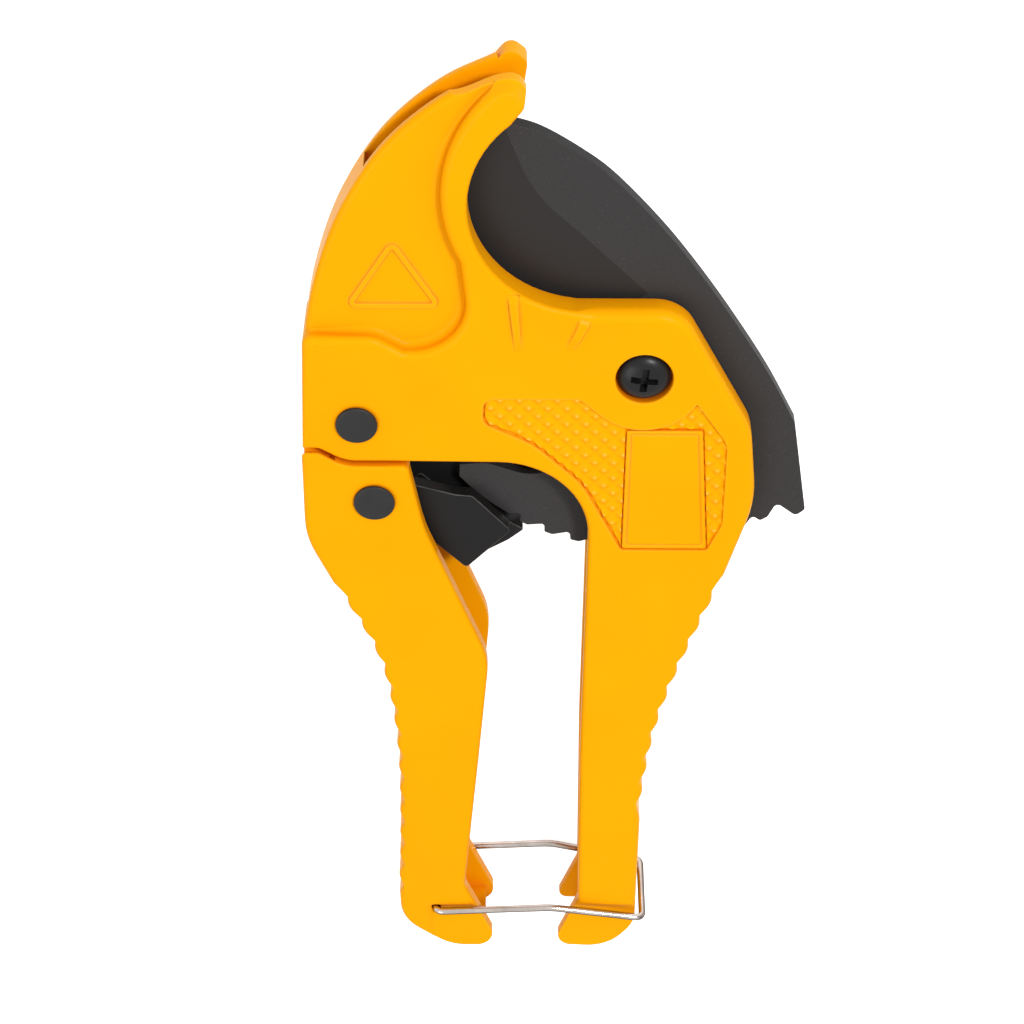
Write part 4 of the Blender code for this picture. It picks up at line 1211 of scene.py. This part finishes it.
def make_pawl():
    cheek = BLADE_HALF + CHEEK_PLAY
    piece = prism(rounded(PAWL_CORE)[:-1], -cheek - GAP, cheek + GAP)
    for shape, low, high in ((PAWL_FRONT, cheek, PAWL_HALF), (PAWL_REAR, -PAWL_HALF, -cheek)):
        plate = prism(rounded(shape), low, high)
        add(plate, rod(PAWL_PIVOT, PAWL_HUB, low, high))
        add(piece, plate)
    cut(piece, rod(PAWL_PIVOT, RIVET_SHANK + GAP, -PAWL_HALF - CUT_OVER, PAWL_HALF + CUT_OVER))
    hand_over(piece, "coated_pawl", "pawl_body", PAWL_COAT, "black_steel", "pawl")


def make_spring(name, stands_for, body, pivot, thickness, turns, first_leg, last_leg):
    """A torsion spring round a rivet: curls one over the other and a straight leg at each end."""
    radius = RIVET_SHANK + GAP + thickness / 2
    pitch = thickness + CURL_GAP
    low = -pitch * turns / 2
    to_first = first_leg - pivot
    to_last = last_leg - pivot
    start = math.degrees(math.atan2(to_first.y, to_first.x) + math.acos(radius / to_first.length))
    end = math.degrees(math.atan2(to_last.y, to_last.x) - math.acos(radius / to_last.length))
    turn = (end - start) % 360 + 360 * (turns - 1)
    count = turns * CURL_STEPS
    bend = first_leg.lerp(polar(pivot, radius, start), LEG_BEND)
    path = [Vector((*first_leg, low)), Vector((*bend, low))]
    for i in range(count + 1):
        share = i / count
        path.append(Vector((*polar(pivot, radius, start + turn * share), low + pitch * turns * share)))
    path.append(Vector((*last_leg.lerp(polar(pivot, radius, end), LEG_BEND), -low)))
    path.append(Vector((*last_leg, -low)))
    piece = wire(path, thickness / 2)
    hand_over(piece, name, body, GROUND_STEEL, "spring_wire", stands_for)


def make_wire():
    """The lock wire: pinned ends in the moving foot, two bent legs and a cross bar."""
    reach = WIRE_PIVOT + WIRE_REACH
    knee = WIRE_PIVOT + WIRE_KNEE
    half = [Vector((*WIRE_PIVOT, WIRE_OUT - WIRE_PIN)), Vector((*WIRE_PIVOT, WIRE_OUT)),
            Vector((*knee, WIRE_OUT)), Vector((*reach, WIRE_OUT - WIRE_TOE_IN))]
    corners = half + [Vector((p.x, p.y, -p.z)) for p in half[::-1]]
    path = [corners[0]]
    for before, tip, after in zip(corners, corners[1:], corners[2:]):
        towards = (before - tip).normalized()
        away = (after - tip).normalized()
        for i in range(WIRE_BEND_STEPS + 1):
            t = i / WIRE_BEND_STEPS
            path.append(tip + WIRE_BEND * (towards * (1 - t) ** 2 + away * t ** 2))
    path.append(corners[-1])
    piece = wire(path, WIRE_RADIUS, sides=20)
    hand_over(piece, "bent_lock_wire", "wire_body", NICKEL_WIRE, "spring_wire", "lock_wire")


make_frame()
make_pad()
make_plate()
make_handle()
make_blade()
make_screw()
make_nut()
near = BLADE_HALF + GAP
far = near + WASHER_THICKNESS
make_ring("turned_bush", "blade_bush", BUSH_RADIUS, SHANK_RADIUS + GAP, GAP - BOSS_FACE, BOSS_FACE - GAP)
make_ring("front_washer", "blade_washer_front", WASHER_RADIUS, BUSH_RADIUS + GAP, near, far)
make_ring("back_washer", "blade_washer_back", WASHER_RADIUS, BUSH_RADIUS + GAP, -far, -near)
make_rivet("hinge_rivet", "handle_rivet", "frame_body", HANDLE_PIVOT, FRAME_HALF)
make_rivet("pawl_pin_rivet", "pawl_rivet", "handle_body", PAWL_PIVOT, HANDLE_HALF)
make_pawl()
make_spring("return_spring", "handle_spring", "frame_body", HANDLE_PIVOT, thickness=0.9, turns=3,
            first_leg=Vector((-27.0, 16.6)), last_leg=Vector((-33.4, 35.4)))
make_spring("pawl_return_spring", "pawl_spring", "pawl_body", PAWL_PIVOT, thickness=0.7, turns=2,
            first_leg=Vector((-34.8, 5.0)), last_leg=Vector((-19.7, 5.0)))
make_wire()


# Studio

FLOOR_DROP = 0.4 * MM
FLOOR_SIZE = 4.0
PAPER = 0.8
WHITE = (1.0, 1.0, 1.0, 1.0)
AMBIENT = 0.52


def white_floor():
    """Matt white that the camera and the gloss see as plain white, but which still takes a shadow."""
    paper = Finish("white_floor")
    shown = paper.shown()
    matt = paper.node("ShaderNodeBsdfDiffuse", {}, {"Color": (PAPER, PAPER, PAPER, 1.0)})
    glow = paper.node("ShaderNodeEmission", {}, {"Color": WHITE, "Strength": PAPER})
    lit = paper.node("ShaderNodeAddShader", {}, {0: matt, 1: glow})
    mixed = paper.node("ShaderNodeMixShader", {}, {0: shown, 1: matt, 2: lit})
    output = paper.tree.nodes["Material Output"]
    paper.feed(output.inputs["Surface"], mixed)
    return paper.owner


def make_floor():
    shape = bmesh.new()
    bmesh.ops.create_grid(shape, x_segments=1, y_segments=1, size=FLOOR_SIZE)
    floor = new_piece(shape)
    floor.name = "floor"
    floor.location.z = -FLOOR_DROP
    floor.data.materials.append(white_floor())


def make_world():
    """An even pale room that the camera and the gloss see as white."""
    world = bpy.data.worlds.new("studio")
    bpy.context.scene.world = world
    room = Finish("studio", world)
    shown = room.shown()
    sky = room.tree.nodes["Background"]
    room.feed(sky.inputs["Color"], WHITE)
    room.feed(sky.inputs["Strength"], AMBIENT + shown * (1.0 - AMBIENT))


def make_lamp(name, place, size, power):
    """A round lamp that faces the middle of the tool."""
    lamp = bpy.data.lights.new(name, "AREA")
    lamp.shape = "DISK"
    lamp.size = size
    lamp.energy = power
    holder = bpy.data.objects.new(name, lamp)
    bpy.context.scene.collection.objects.link(holder)
    holder.location = place
    holder.rotation_euler = (-Vector(place)).to_track_quat("-Z", "Y").to_euler()


CAMERA_TILT = math.radians(37.4)
CAMERA_SWING = math.radians(0.6)
CAMERA_ROLL = math.radians(0.3)
CAMERA_DISTANCE = 0.525
SENSOR = 36.0
FOCAL_SHARE = 2750 / 1024


def make_camera():
    """The photograph's view: from above the front face, leaning towards the hook."""
    aside = math.sin(CAMERA_TILT)
    back = Vector((math.sin(CAMERA_SWING) * aside, math.cos(CAMERA_SWING) * aside, math.cos(CAMERA_TILT)))
    up = Vector((0, math.cos(CAMERA_TILT), -math.sin(CAMERA_TILT)))
    up = (up - back * up.dot(back)).normalized()
    up = Matrix.Rotation(CAMERA_ROLL, 3, back) @ up
    right = up.cross(back)
    lens = bpy.data.cameras.new("camera")
    lens.lens = FOCAL_SHARE * SENSOR
    lens.sensor_width = SENSOR
    lens.clip_start = 0.01
    holder = bpy.data.objects.new("camera", lens)
    bpy.context.scene.collection.objects.link(holder)
    turn = Matrix((right, up, back)).transposed().to_4x4()
    holder.matrix_world = Matrix.Translation(SHIFT + back * CAMERA_DISTANCE) @ turn
    bpy.context.scene.camera = holder


make_floor()
make_world()
make_lamp("key", place=(0.5, 0.75, 1.05), size=0.24, power=12.0)
make_lamp("fill", place=(-0.7, -0.2, 1.15), size=0.8, power=5.5)
make_camera()
bpy.context.scene.view_settings.view_transform = "Standard"
